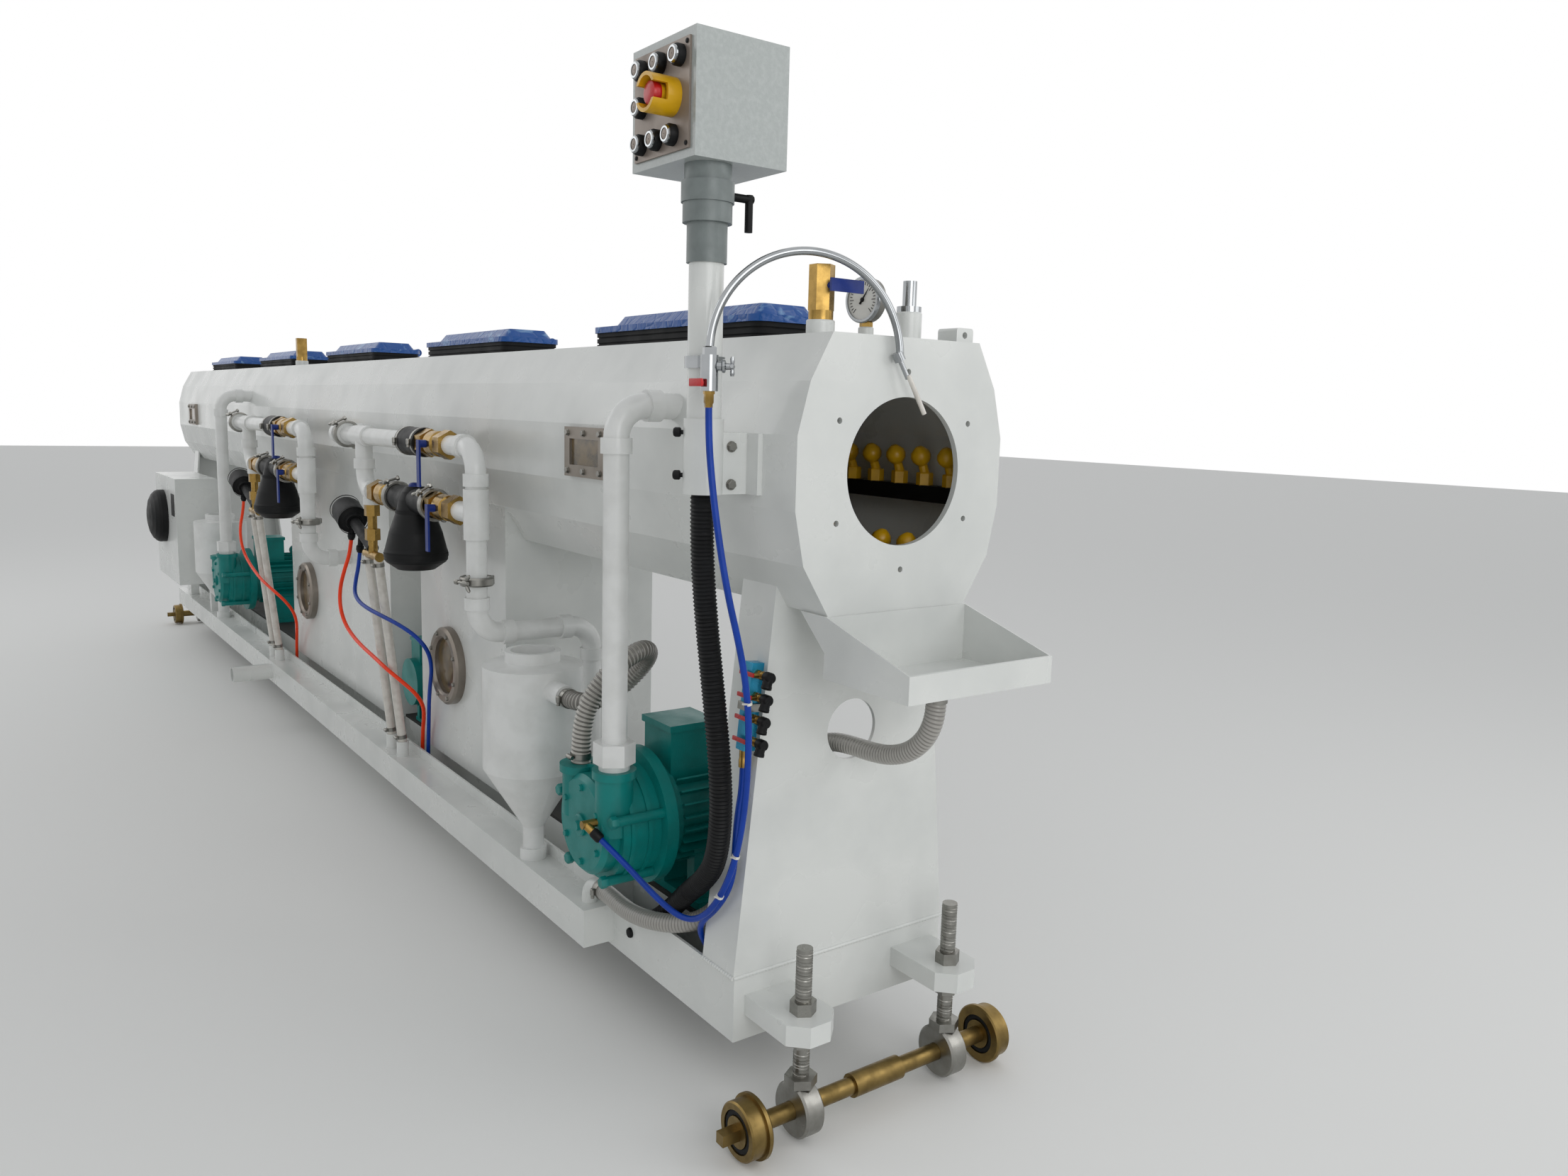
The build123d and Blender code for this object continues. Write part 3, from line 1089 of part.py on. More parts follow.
def actuator_frame(pitch):
    """Root of the drain valve's actuator, the way its stem points, and the way its air fittings point."""
    tilt = radians(ACTUATOR_TILT)
    root = Vector(-STATION_X - pitch - DRAIN_VALVE_TOP_X, -PIPE_Y, DRAIN_VALVE_FOOT + ACTUATOR_RISE)
    return root, Vector(-cos(tilt), 0, sin(tilt)), Vector(-sin(tilt), 0, -cos(tilt))


def air_exit(pitch, place):
    """Mouth of an air fitting at its place along the stem from the head, and a point straight on."""
    root, way, down = actuator_frame(pitch)
    mouth = root + way * (ACTUATOR_STEM + place) + down * AIR_FITTING_REACH
    return [tuple(mouth), tuple(mouth + down * AIR_LEAD)]


def actuator(pitch, fittings):
    """Black pneumatic head on a tilted stem beside the drain valve, with its air fittings."""
    root, way, down = actuator_frame(pitch)
    stem = bar(root, way, ACTUATOR_STEM, ACTUATOR_STEM_DIAMETER) - drain_valve(pitch)
    stem = stem.solids().sort_by(Axis.X)[0]
    head = root + way * ACTUATOR_STEM
    body = stem + turned(head, way, shared(ACTUATOR_SHARES, ACTUATOR_LENGTH, ACTUATOR_DIAMETER))
    for place in fittings:
        body += bar(root + way * (ACTUATOR_STEM + place), down, AIR_FITTING_REACH, AIR_FITTING)
    return body


def drop_hoses(header):
    """Clear hoses from the drain valves down to the header's spigots."""
    hoses = []
    valves = drain_valve(0) + drain_valve(STATION_PITCH)
    for x in spigot_places():
        top = (-x, -PIPE_Y, DRAIN_VALVE_FOOT)
        foot = (-x, -HEADER_MID_Y, HEADER_TOP + SPIGOT_HEIGHT - CUT)
        hose = pipe([top, foot], DROP_HOSE, PIPE_BEND) - valves - header
        hoses.append(hose.solids().sort_by(SortBy.VOLUME)[-1])
    return hoses


def control_post():
    """Post in its bracket tube, which a plate and an arm hold to the tank side."""
    post = bar((-POST_X, -POST_Y, POST_FOOT), (0, 0, 1), POST_TOP - POST_FOOT, POST_DIAMETER)
    post += bar((-POST_X, -POST_Y, POST_FOOT), (0, 0, 1), BRACKET_TOP - POST_FOOT, BRACKET_TUBE)
    plate_half = BRACKET_PLATE_LENGTH / 2
    low = LINE_HEIGHT - TANK_DROP * LOWER_BEND_SHARES[0][1]
    high = LINE_HEIGHT + TANK_RISE * UPPER_BEND_SHARES[-1][1]
    plate_z = (max(low, POST_FOOT), min(high, BRACKET_TOP))
    wall = -TANK_HALF_WIDTH
    post += block((-POST_X - plate_half, -POST_X + plate_half), (wall - BRACKET_PLATE, wall), plate_z)
    half = BRACKET_ARM / 2
    return post + block((-POST_X - half, -POST_X + half), (-POST_Y, wall), plate_z)


def swivel_collar():
    """Stepped sleeve on the post's head, closed under the box."""
    up = (0, 0, 1)
    collar = bar((-POST_X, -POST_Y, SLEEVE_FOOT), up, COLLAR_SLEEVE_HEIGHT, COLLAR_SLEEVE)
    collar += bar((-POST_X, -POST_Y, COLLAR_RING_Z), up, COLLAR_RING_HEIGHT, COLLAR_RING)
    collar += bar((-POST_X, -POST_Y, COLLAR_HEAD_Z), up, COLLAR_HEAD_HEIGHT, COLLAR_HEAD)
    collar += bar((-POST_X, -POST_Y, COLLAR_NECK_Z), up, COLLAR_NECK_HEIGHT, COLLAR_NECK)
    deep = POST_TOP - SLEEVE_FOOT + 2 * CUT
    return collar - bar((-POST_X, -POST_Y, SLEEVE_FOOT - CUT), up, deep, POST_DIAMETER + 2 * COLLAR_PLAY)


def clamp_lever():
    """Clamping lever screwed into the collar's widest tier."""
    z = (COLLAR_HEAD_Z + COLLAR_NECK_Z) / 2
    start = (-POST_X, -POST_Y + COLLAR_HEAD / 2, z)
    lever = bar(start, (0, 1, 0), CLAMP_LEVER_OUT, CLAMP_LEVER)
    corner = (-POST_X, start[1] + CLAMP_LEVER_OUT - CLAMP_LEVER / 2, z + CLAMP_LEVER / 2)
    return lever + bar(corner, (0, 0, -1), CLAMP_LEVER_DROP, CLAMP_LEVER)


def control_box():
    x = (-BOX_FRONT - BOX_LENGTH, -BOX_FRONT)
    z = (BOX_BOTTOM, BOX_BOTTOM + BOX_HEIGHT)
    return block(x, (-BOX_OUTER, BOX_WIDTH - BOX_OUTER), z)


def panel_point(shares):
    """Point on the panel's face from shares of its length and height about its middle."""
    x = -BOX_FRONT - BOX_LENGTH / 2 + shares[0] * BOX_LENGTH
    z = BOX_BOTTOM + BOX_HEIGHT / 2 + shares[1] * BOX_HEIGHT
    return (x, -BOX_OUTER - PANEL, z)


def control_panel():
    """Steel panel with ringed push buttons."""
    x = (-BOX_FRONT - BOX_LENGTH + PANEL_MARGIN, -BOX_FRONT - PANEL_MARGIN)
    z = (BOX_BOTTOM + PANEL_MARGIN, BOX_BOTTOM + BOX_HEIGHT - PANEL_MARGIN)
    panel = block(x, (-BOX_OUTER - PANEL, -BOX_OUTER), z)
    for shares in BUTTON_SHARES:
        steps = [(0, BUTTON_RING), (BUTTON_RING_REACH, BUTTON_RING), (BUTTON_RING_REACH, BUTTON_DIAMETER)]
        panel += turned(panel_point(shares), (0, -1, 0), steps + [(BUTTON_REACH, BUTTON_DIAMETER)])
    return panel


def main_switch():
    """Stop button in a slotted guard."""
    face = panel_point(SWITCH_SHARES)
    out = (0, -1, 0)
    guard = bar(face, out, SWITCH_REACH, SWITCH_DIAMETER)
    floor = (face[0], face[1] - SWITCH_FLOOR, face[2])
    guard -= bar(floor, out, SWITCH_REACH, SWITCH_DIAMETER - 2 * SWITCH_WALL)
    half = SWITCH_SLOT / 2
    wide = (face[0] - SWITCH_DIAMETER, face[0] + SWITCH_DIAMETER)
    deep = (face[1] - SWITCH_REACH - CUT, face[1] - SWITCH_SLOT)
    guard -= block(wide, deep, (face[2] - half, face[2] + half))
    return guard + bar(face, out, SWITCH_KNOB_REACH, SWITCH_KNOB)


def spout():
    """Chrome spout that arches from the post's valve over to the inlet, with a swivel nozzle."""
    base = Vector(-SPOUT_BASE_X, -SPOUT_BASE_Y, SPOUT_BASE)
    ahead = Vector(cos(radians(SPOUT_WAY)), sin(radians(SPOUT_WAY)), 0)
    up = Vector(0, 0, 1)
    spring = base + up * SPOUT_STRAIGHT
    crown = spring + ahead * SPOUT_ARCH / 2 + up * SPOUT_ARCH / 2
    end = spring + ahead * SPOUT_ARCH
    path = Line(base, spring) + ThreePointArc(spring, crown, end)
    arm = sweep(Plane(base, z_dir=up) * Circle(SPOUT / 2), path=path)
    lean = radians(SPOUT_NOZZLE_LEAN)
    way = ahead * sin(lean) - up * cos(lean)
    collar = SPOUT_NOZZLE_COLLAR_LENGTH
    steps = [(0, SPOUT), (0, SPOUT_NOZZLE_COLLAR), (collar, SPOUT_NOZZLE_COLLAR)]
    steps += [(collar, SPOUT_NOZZLE), (SPOUT_NOZZLE_LENGTH, SPOUT_NOZZLE)]
    arm += turned(end - way * SPOUT, way, steps[1:])
    arm += bar(base, (0, 0, -1), SPOUT_VALVE_DROP, SPOUT_VALVE)
    return arm + spout_clip()


def spout_clip():
    """Clip round the post that holds the spout's valve."""
    low = SPOUT_BASE - SPOUT_CLIP_HEIGHT
    post = bar((-POST_X, -POST_Y, low), (0, 0, 1), SPOUT_CLIP_HEIGHT, POST_DIAMETER)
    clip = bar((-POST_X, -POST_Y, low), (0, 0, 1), SPOUT_CLIP_HEIGHT, POST_DIAMETER + 2 * SPOUT_CLIP)
    reach = Vector(POST_X - SPOUT_BASE_X, POST_Y - SPOUT_BASE_Y, 0)
    turn = degrees(atan2(reach.Y, reach.X))
    arm = Pos(reach.length / 2, 0, SPOUT_CLIP_HEIGHT / 2) * Box(reach.length, SPOUT_VALVE, SPOUT_CLIP_HEIGHT)
    return clip + Pos(-POST_X, -POST_Y, low) * Rot(0, 0, turn) * arm - post


def roof_fittings():
    """Brass vent valves on sockets, vacuum gauge and vacuum breaker."""
    up = (0, 0, 1)
    spans = lid_spans()
    rear_x = (spans[2][1] + spans[3][0]) / 2
    valves = []
    for x, y in ((-FITTING_X, VENT_Y), (rear_x, VENT_REAR_Y)):
        body = bar((x, y, ROOF_Z), up, VENT_SOCKET_HEIGHT, VENT_SOCKET)
        valves.append(body + hexagon((x, y, ROOF_Z + VENT_SOCKET_HEIGHT), up, VENT_BODY_HEIGHT, VENT_BODY))
    gauge = bar((-FITTING_X, GAUGE_Y, ROOF_Z), up, GAUGE_STEM_HEIGHT, GAUGE_STEM)
    dial_z = ROOF_Z + GAUGE_STEM_HEIGHT + GAUGE_DIAMETER * GAUGE_SEAT_SHARE
    gauge += bar((-FITTING_X - GAUGE_DEPTH / 2, GAUGE_Y, dial_z), (1, 0, 0), GAUGE_DEPTH, GAUGE_DIAMETER)
    breaker = bar((-FITTING_X, BREAKER_Y, ROOF_Z), up, BREAKER_SOCKET_HEIGHT, BREAKER_SOCKET)
    breaker += bar((-FITTING_X, BREAKER_Y, ROOF_Z + BREAKER_SOCKET_HEIGHT), up, BREAKER_HEIGHT, BREAKER_STEM)
    lever_x = -FITTING_X + VENT_BODY / 2
    lever_z = ROOF_Z + VENT_SOCKET_HEIGHT + VENT_LEVER_RISE
    half = VENT_LEVER_WIDTH / 2
    lever_y = (VENT_Y - half, VENT_Y - half + VENT_LEVER_LENGTH)
    outer = lever_x + VENT_LEVER_STAND
    lever = block((outer, outer + LEVER_THICKNESS), lever_y, (lever_z - half, lever_z + half))
    lever += bar((lever_x, VENT_Y, lever_z), (1, 0, 0), VENT_LEVER_STAND, VENT_LEVER_WIDTH / 2)
    return valves, gauge, breaker, lever


def valve_block():
    """Water block on the pedestal's operator side, with small lever valves that point along the line."""
    lean = atan2(PEDESTAL_FOOT_HALF - PEDESTAL_HEAD_HALF, LINE_HEIGHT - BASE_TOP)
    top = LINE_HEIGHT - BLOCK_DROP
    share = (top - BASE_TOP) / (LINE_HEIGHT - BASE_TOP)
    wall_y = -PEDESTAL_FOOT_HALF + (PEDESTAL_FOOT_HALF - PEDESTAL_HEAD_HALF) * share
    half = BLOCK_SIZE / 2
    x = BASE_FRONT - BLOCK_SETBACK
    body = block((x - half, x + half), (-BLOCK_SIZE, 0), (-BLOCK_LENGTH, 0))
    for i in range(BLOCK_VALVES):
        z = -BLOCK_LENGTH * (i + 0.5) / BLOCK_VALVES
        body += bar((x, -half, z), (1, 0, 0), half + BLOCK_VALVE_REACH, BLOCK_VALVE)
        elbow = (x + half + BLOCK_VALVE_REACH, -half, z)
        body += bar(elbow, (1, 0, 0), BLOCK_ELBOW_LENGTH, BLOCK_ELBOW)
        middle = x + half + BLOCK_VALVE_REACH / 2
        stem = (middle, -half, z)
        body += bar(stem, (0, -1, 0), half + BLOCK_LEVER_WIDTH, BLOCK_LEVER_WIDTH)
        lever_y = (-BLOCK_SIZE - BLOCK_LEVER_WIDTH, BLOCK_LEVER - BLOCK_SIZE - BLOCK_LEVER_WIDTH)
        wide = BLOCK_LEVER_WIDTH / 2
        body += block((middle - BLOCK_LEVER_LENGTH, middle + wide), lever_y, (z - wide, z + wide))
    body = Pos(0, wall_y, top) * Rot(-degrees(lean), 0, 0) * body
    foot = Vector(*BLOCK_HOSE_ROUTE[0])
    return body + bar(foot, (0, 0, 1), BLOCK_NIPPLE_LENGTH, BLOCK_NIPPLE)


def rear_cabinet():
    """Closed cabinet on legs that stand on the header, with a domed fan hood on its outer face."""
    x = (-CABINET_FRONT - CABINET_LENGTH, -CABINET_FRONT)
    y = (-CABINET_OUTER, -CABINET_INNER)
    z = (CABINET_BOTTOM, CABINET_BOTTOM + CABINET_HEIGHT)
    body = block(x, y, z)
    for leg_x in (x[0], x[1] - CABINET_LEG_WIDTH):
        leg_y = (-HEADER_MID_Y - CABINET_LEG_WIDTH / 2, -HEADER_MID_Y + CABINET_LEG_WIDTH / 2)
        body += block((leg_x, leg_x + CABINET_LEG_WIDTH), leg_y, (HEADER_TOP, CABINET_BOTTOM))
    hood_x = x[0] + CABINET_LENGTH * (1 - HOOD_SHARE)
    hood_z = CABINET_BOTTOM + CABINET_HEIGHT * HOOD_SHARE
    dome = shared(HOOD_SHARES, HOOD_DEPTH, HOOD_DIAMETER)
    return body, turned((hood_x, -CABINET_OUTER, hood_z), (0, -1, 0), dome)


def place(shape):
    """Moves shapes so that the footprint's middle is the origin."""
    shapes = shape if isinstance(shape, (list, tuple)) else [shape]
    solids = [solid for each in shapes for solid in each.solids()]
    moved = [Pos(-FOOTPRINT_MID_X, -FOOTPRINT_MID_Y, 0) * solid for solid in solids]
    return moved[0] if len(moved) == 1 else Compound(children=moved)


def save(name, shape):
    part = place(shape)
    part.label = name
    export_step(part, f"parts/{name}.step")


def main():
    os.makedirs("parts", exist_ok=True)
    tank = tank_block()
    roof, near_wall, far_wall, floor = tank_shell()
    save("tank_roof", roof)
    save("tank_operator_wall", near_wall)
    save("tank_far_wall", far_wall)
    save("tank_floor", floor)
    save("inlet_end_plate", end_plate(0))
    save("outlet_end_plate", end_plate(END_PLATE - TANK_LENGTH))
    save("hatch_seals", hatch_seals())
    for i, span in enumerate(lid_spans()):
        save(f"hatch_lid_{i + 1}", hatch_lid(span))
    save("hatch_hinges", hatch_hinges())
    save("spray_bars", spray_bars())

    trough, frame = base_frame()
    save("base_trough", trough)
    save("base_frame", frame)
    save("bay_plates", bay_plates())
    front_column = pedestal(BASE_FRONT, 1, tank)
    hole = (BASE_FRONT + CUT, 0, LINE_HEIGHT - PEDESTAL_HOLE_DROP)
    front_column -= bar(hole, (-1, 0, 0), PEDESTAL_DEPTH / 2, PEDESTAL_HOLE)
    save("front_pedestal", front_column)
    save("rear_pedestal", pedestal(BASE_BACK, -1, tank))
    save("jack_screws", jack_screws(FRONT_AXLE_X) + jack_screws(REAR_AXLE_X))
    for name, x in (("front", FRONT_AXLE_X), ("rear", REAR_AXLE_X)):
        save(f"{name}_axle", axle(x))
        save(f"{name}_wheels", wheels(x))
    save("catch_tray", catch_tray(tank))

    header = drain_header()
    save("drain_header", header)
    save("water_boxes", water_boxes(tank))
    rims, glasses = sight_ports()
    save("sight_frames", rims)
    save("sight_glasses", glasses)
    pumps = [-PUMP_X, -REAR_PUMP_X]
    save("vacuum_pumps", [vacuum_pump(x) for x in pumps])
    motors = [pump_motor(x, -PUMP_FLANGE_BACK, PUMP_AXIS_HEIGHT, 1) for x in pumps]
    water_axis = BAY_FLOOR + (PUMP_AXIS_HEIGHT - BAY_FLOOR) * WATER_PUMP_SCALE_SHARE
    motors.append(pump_motor(-WATER_PUMP_X, -WATER_PUMP_FACE, water_axis, WATER_PUMP_SCALE_SHARE))
    save("pump_motors", motors)
    save("separators", [separator(x) for x in (SEPARATOR_X, REAR_SEPARATOR_X)])
    floor_tail = [(-STATION_TAIL_Y, STATION_FOOT), (-STATION_TAIL_Y, BAY_FLOOR)]
    box_tail = [(-BOX_HALF_WIDTH, STATION_FOOT)]
    pitches = [0, STATION_PITCH]
    white = [suction_pipe(x + PUMP_PORT_SPACING / 2, tank) for x in pumps]
    white += station_pipes(0, floor_tail, tank) + station_pipes(STATION_PITCH, box_tail, tank)
    save("vacuum_pipes", white)
    brass = [valve for pitch in pitches for valve in station_valves(pitch)]
    brass += [drain_valve(pitch) for pitch in pitches]
    save("station_valves", brass + [seal_water_fitting()])
    black = [station_sleeve(pitch) for pitch in pitches]
    save("station_filters", black + [station_filter(pitch) for pitch in pitches])
    save("station_levers", station_levers(0) + station_levers(STATION_PITCH))
    near, far = AIR_FITTING_PLACES
    save("drain_actuators", [actuator(0, (near, far)), actuator(STATION_PITCH, (near,))])
    save("drop_hoses", drop_hoses(header))

    save("control_post", control_post())
    save("swivel_collar", swivel_collar())
    save("clamp_lever", clamp_lever())
    save("control_box", control_box())
    save("control_panel", control_panel())
    save("main_switch", main_switch())
    save("spout", spout())
    valves, gauge, breaker, lever = roof_fittings()
    save("vent_valves", valves)
    save("vent_lever", lever)
    save("vacuum_gauge", gauge)
    save("vacuum_breaker", breaker)
    save("valve_block", valve_block())
    cabinet, hood = rear_cabinet()
    save("rear_cabinet", cabinet)
    save("cabinet_hood", hood)

    starts = [air_exit(*place) for place in ((0, near), (STATION_PITCH, near), (0, far))]
    cords = [("cable_conduit", CONDUIT_ROUTE, CONDUIT), ("spout_hose", SPOUT_HOSE_ROUTE, WATER_HOSE)]
    cords += [("block_hose", BLOCK_HOSE_ROUTE, WATER_HOSE), ("discharge_hose", DISCHARGE_ROUTE, SPIRAL_HOSE)]
    cords += [("tray_hose", TRAY_HOSE_ROUTE, TRAY_HOSE)]
    cords += [("front_air_hose", starts[0] + FRONT_AIR_ROUTE, AIR_HOSE)]
    cords += [("rear_air_hose", starts[1] + REAR_AIR_ROUTE, AIR_HOSE)]
    cords += [("front_signal_hose", starts[2] + SIGNAL_ROUTE, AIR_HOSE)]
    for name, route, diameter in cords:
        save(name, cord(name, route, diameter))


main()
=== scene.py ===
import json
from math import cos, pi, radians, sin

import bmesh
import bpy
from mathutils import Matrix, Vector


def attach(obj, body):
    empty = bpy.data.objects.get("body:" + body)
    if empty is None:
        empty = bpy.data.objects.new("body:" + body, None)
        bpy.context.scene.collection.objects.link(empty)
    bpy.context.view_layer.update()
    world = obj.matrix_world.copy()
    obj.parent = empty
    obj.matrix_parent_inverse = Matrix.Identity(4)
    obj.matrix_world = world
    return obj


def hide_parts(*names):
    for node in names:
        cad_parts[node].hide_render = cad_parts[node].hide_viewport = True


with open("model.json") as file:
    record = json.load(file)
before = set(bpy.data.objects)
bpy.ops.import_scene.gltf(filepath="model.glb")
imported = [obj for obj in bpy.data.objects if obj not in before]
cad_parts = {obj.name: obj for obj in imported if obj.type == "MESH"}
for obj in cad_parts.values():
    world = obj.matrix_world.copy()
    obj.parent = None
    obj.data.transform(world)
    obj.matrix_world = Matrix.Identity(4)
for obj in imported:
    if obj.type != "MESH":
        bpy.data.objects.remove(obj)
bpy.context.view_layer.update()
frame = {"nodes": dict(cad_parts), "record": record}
nodes = frame["nodes"]
mounts = {mount["name"]: mount for mount in frame["record"]["mounts"]}
line = Vector(mounts["inlet_bolts"]["pos_m"])
scene = bpy.context.scene

# Directions: out to the operator, along the line to its inlet, and up.
OUT = (0, -1, 0)
AHEAD = (1, 0, 0)
UP = (0, 0, 1)
HEXAGON = 6


def at(x, y, z):
    """Point in metres, from millimetres ahead of the inlet face, off the pipe axis and up."""
    return Vector((line.x + x / 1000, line.y + y / 1000, z / 1000))


def colour(code):
    """Linear colour of an sRGB hex value."""
    parts = [int(code[i:i + 2], 16) / 255 for i in (1, 3, 5)]
    return tuple(p / 12.92 if p <= 0.04045 else ((p + 0.055) / 1.055) ** 2.4
                 for p in parts) + (1.0,)


def add(tree, kind, inputs=None, **settings):
    """Adds a node with its settings; each input is a value or another node's socket."""
    node = tree.nodes.new(kind)
    for name, value in settings.items():
        setattr(node, name, value)
    for name, value in (inputs or {}).items():
        if isinstance(value, bpy.types.NodeSocket):
            tree.links.new(value, node.inputs[name])
        else:
            node.inputs[name].default_value = value
    return node


def calc(tree, operation, *values):
    """Result of a math node on values or sockets."""
    return add(tree, "ShaderNodeMath", dict(enumerate(values)), operation=operation).outputs[0]


def show(name, data):
    """Object in the scene with this data."""
    shown = bpy.data.objects.new(name, data)
    scene.collection.objects.link(shown)
    return shown


def mesh_of(name, bm):
    """Mesh from a bmesh, which is used up."""
    mesh = bpy.data.meshes.new(name)
    bm.to_mesh(mesh)
    bm.free()
    return mesh


# Places of the colours among a mix node's sockets.
MIX_FIRST, MIX_SECOND, MIX_RESULT = 6, 7, 2


def mix(tree, amount, first, second):
    """Blend of two colours."""
    inputs = {"Factor": amount, MIX_FIRST: first, MIX_SECOND: second}
    return add(tree, "ShaderNodeMix", inputs, data_type="RGBA").outputs[MIX_RESULT]


def ranged(tree, value, low, high, start=0.0, end=1.0):
    """Value between low and high brought to the range from start to end, and held in it."""
    inputs = {"Value": value, "From Min": low, "From Max": high, "To Min": start, "To Max": end}
    return add(tree, "ShaderNodeMapRange", inputs).outputs["Result"]


# The photo's camera: its place about the line in millimetres, its turns in degrees, and its
# lens in pixels of the image.
CAMERA_AT = (1556.76, -1406.85, 1338.60)
CAMERA_YAW = 36.344
CAMERA_PITCH = -8.607
CAMERA_ROLL = 1.658
FOCAL_PIXELS = 1629.75
IMAGE_WIDTH = 2212
SENSOR_WIDTH = 36
NEAREST_SEEN = 0.05


def set_camera():
    """Camera that sees the part as the photo does."""
    data = bpy.data.cameras.new("photo_camera")
    camera = show("photo_camera", data)
    yaw, pitch, roll = (radians(a) for a in (CAMERA_YAW, CAMERA_PITCH, CAMERA_ROLL))
    ahead = Vector((-cos(yaw) * cos(pitch), sin(yaw) * cos(pitch), sin(pitch)))
    right = ahead.cross(Vector(UP)).normalized()
    up = right.cross(ahead)
    tilted_right = cos(roll) * right + sin(roll) * up
    tilted_up = cos(roll) * up - sin(roll) * right
    facing = Matrix((tilted_right, tilted_up, -ahead)).transposed()
    camera.matrix_world = Matrix.Translation(at(*CAMERA_AT)) @ facing.to_4x4()
    data.sensor_fit = "HORIZONTAL"
    data.sensor_width = SENSOR_WIDTH
    data.lens = FOCAL_PIXELS / IMAGE_WIDTH * SENSOR_WIDTH
    data.clip_start = NEAREST_SEEN
    scene.camera = camera


def material(name, looks, place="Object"):
    """Material with its shader's values; gives it, its node tree, shader and coordinates."""
    made = bpy.data.materials.new(name)
    made.use_nodes = True
    tree = made.node_tree
    shader = tree.nodes["Principled BSDF"]
    for label, value in looks.items():
        shader.inputs[label].default_value = value
    where = add(tree, "ShaderNodeTexCoord").outputs[place]
    return made, tree, shader, where


# Where in the patches' noise the stain comes up, and where the roughness wanders.
STAIN_RANGE = (0.42, 0.75)
WANDER_RANGE = (0.3, 0.7)


def finish(name, base, stain, roughness, spread, patch, grain, depth, metallic=0.0,
           stretch=(1, 1, 1), coat=0.0, share=0.5, specular=0.5):
    """Coloured surface with stain in soft patches and a fine grain in the bump.

    The roughness wanders with the patches by spread. patch and grain are sizes and depth is the
    grain's height, in millimetres. share is how far the stain covers the base.
    """
    made, tree, shader, where = material(name, {
        "Metallic": metallic, "Coat Weight": coat, "Coat Roughness": 0.1,
        "Specular IOR Level": specular})
    pulled = add(tree, "ShaderNodeMapping", {"Vector": where, "Scale": stretch}).outputs["Vector"]
    patches = add(tree, "ShaderNodeTexNoise", {
        "Vector": where, "Scale": 1000 / patch, "Detail": 6.0}).outputs["Fac"]
    amount = ranged(tree, patches, *STAIN_RANGE, 0.0, share)
    mixed = mix(tree, amount, colour(base), colour(stain))
    tree.links.new(mixed, shader.inputs["Base Color"])
    rough = ranged(tree, patches, *WANDER_RANGE, roughness - spread, roughness + spread)
    tree.links.new(rough, shader.inputs["Roughness"])
    fine = add(tree, "ShaderNodeTexNoise", {
        "Vector": pulled, "Scale": 1000 / grain, "Detail": 3.0}).outputs["Fac"]
    bump = add(tree, "ShaderNodeBump", {
        "Height": fine, "Distance": depth / 1000, "Strength": 1.0})
    tree.links.new(bump.outputs["Normal"], shader.inputs["Normal"])
    return made


# Widths of the film's folds and creases, in millimetres.
FOLD_SIZE = 70
CREASE_SIZE = 38


def film(name):
    """Blue peel-off film on a lid: loose folds, sharp creases, and pale spots where it lifts."""
    made, tree, shader, where = material(name, {
        "Coat Weight": 0.15, "Coat Roughness": 0.12, "Specular IOR Level": 0.35,
        "Roughness": 0.3})
    folds = add(tree, "ShaderNodeTexNoise", {
        "Vector": where, "Scale": 1000 / FOLD_SIZE, "Detail": 4.0,
        "Distortion": 1.4}).outputs["Fac"]
    creases = add(tree, "ShaderNodeTexVoronoi", {
        "Vector": where, "Scale": 1000 / CREASE_SIZE}, feature="DISTANCE_TO_EDGE")
    sharp = ranged(tree, creases.outputs["Distance"], 0.0, 0.12)
    lifted = ranged(tree, folds, 0.6, 0.74)
    mixed = mix(tree, lifted, colour("#06509c"), colour("#86b0da"))
    tree.links.new(mixed, shader.inputs["Base Color"])
    height = calc(tree, "ADD", calc(tree, "MULTIPLY", sharp, 0.25), folds)
    bump = add(tree, "ShaderNodeBump", {"Height": height, "Distance": 0.006, "Strength": 0.7})
    tree.links.new(bump.outputs["Normal"], shader.inputs["Normal"])
    return made


# The tracer line's place round a hose and half its width, as shares of the way round.
TRACER_AT = 0.3
TRACER_HALF = 0.025


def banded_hose(name, wall, band, pitch, share, tracer=None):
    """Hose wall with a spiral band of a pitch in millimetres, and a tracer line if it has one."""
    made, tree, shader, where = material(name, {
        "Coat Weight": 0.5, "Coat Roughness": 0.15, "Roughness": 0.35}, "UV")
    split = add(tree, "ShaderNodeSeparateXYZ", {"Vector": where})
    around, along = split.outputs["X"], split.outputs["Y"]
    turns = calc(tree, "MULTIPLY_ADD", along, 1000 / pitch, around)
    inside = calc(tree, "LESS_THAN", calc(tree, "FRACT", turns), share)
    mixed = mix(tree, inside, colour(wall), colour(band))
    if tracer:
        near = calc(tree, "COMPARE", around, TRACER_AT, TRACER_HALF)
        mixed = mix(tree, near, mixed, colour(tracer))
    tree.links.new(mixed, shader.inputs["Base Color"])
    return made


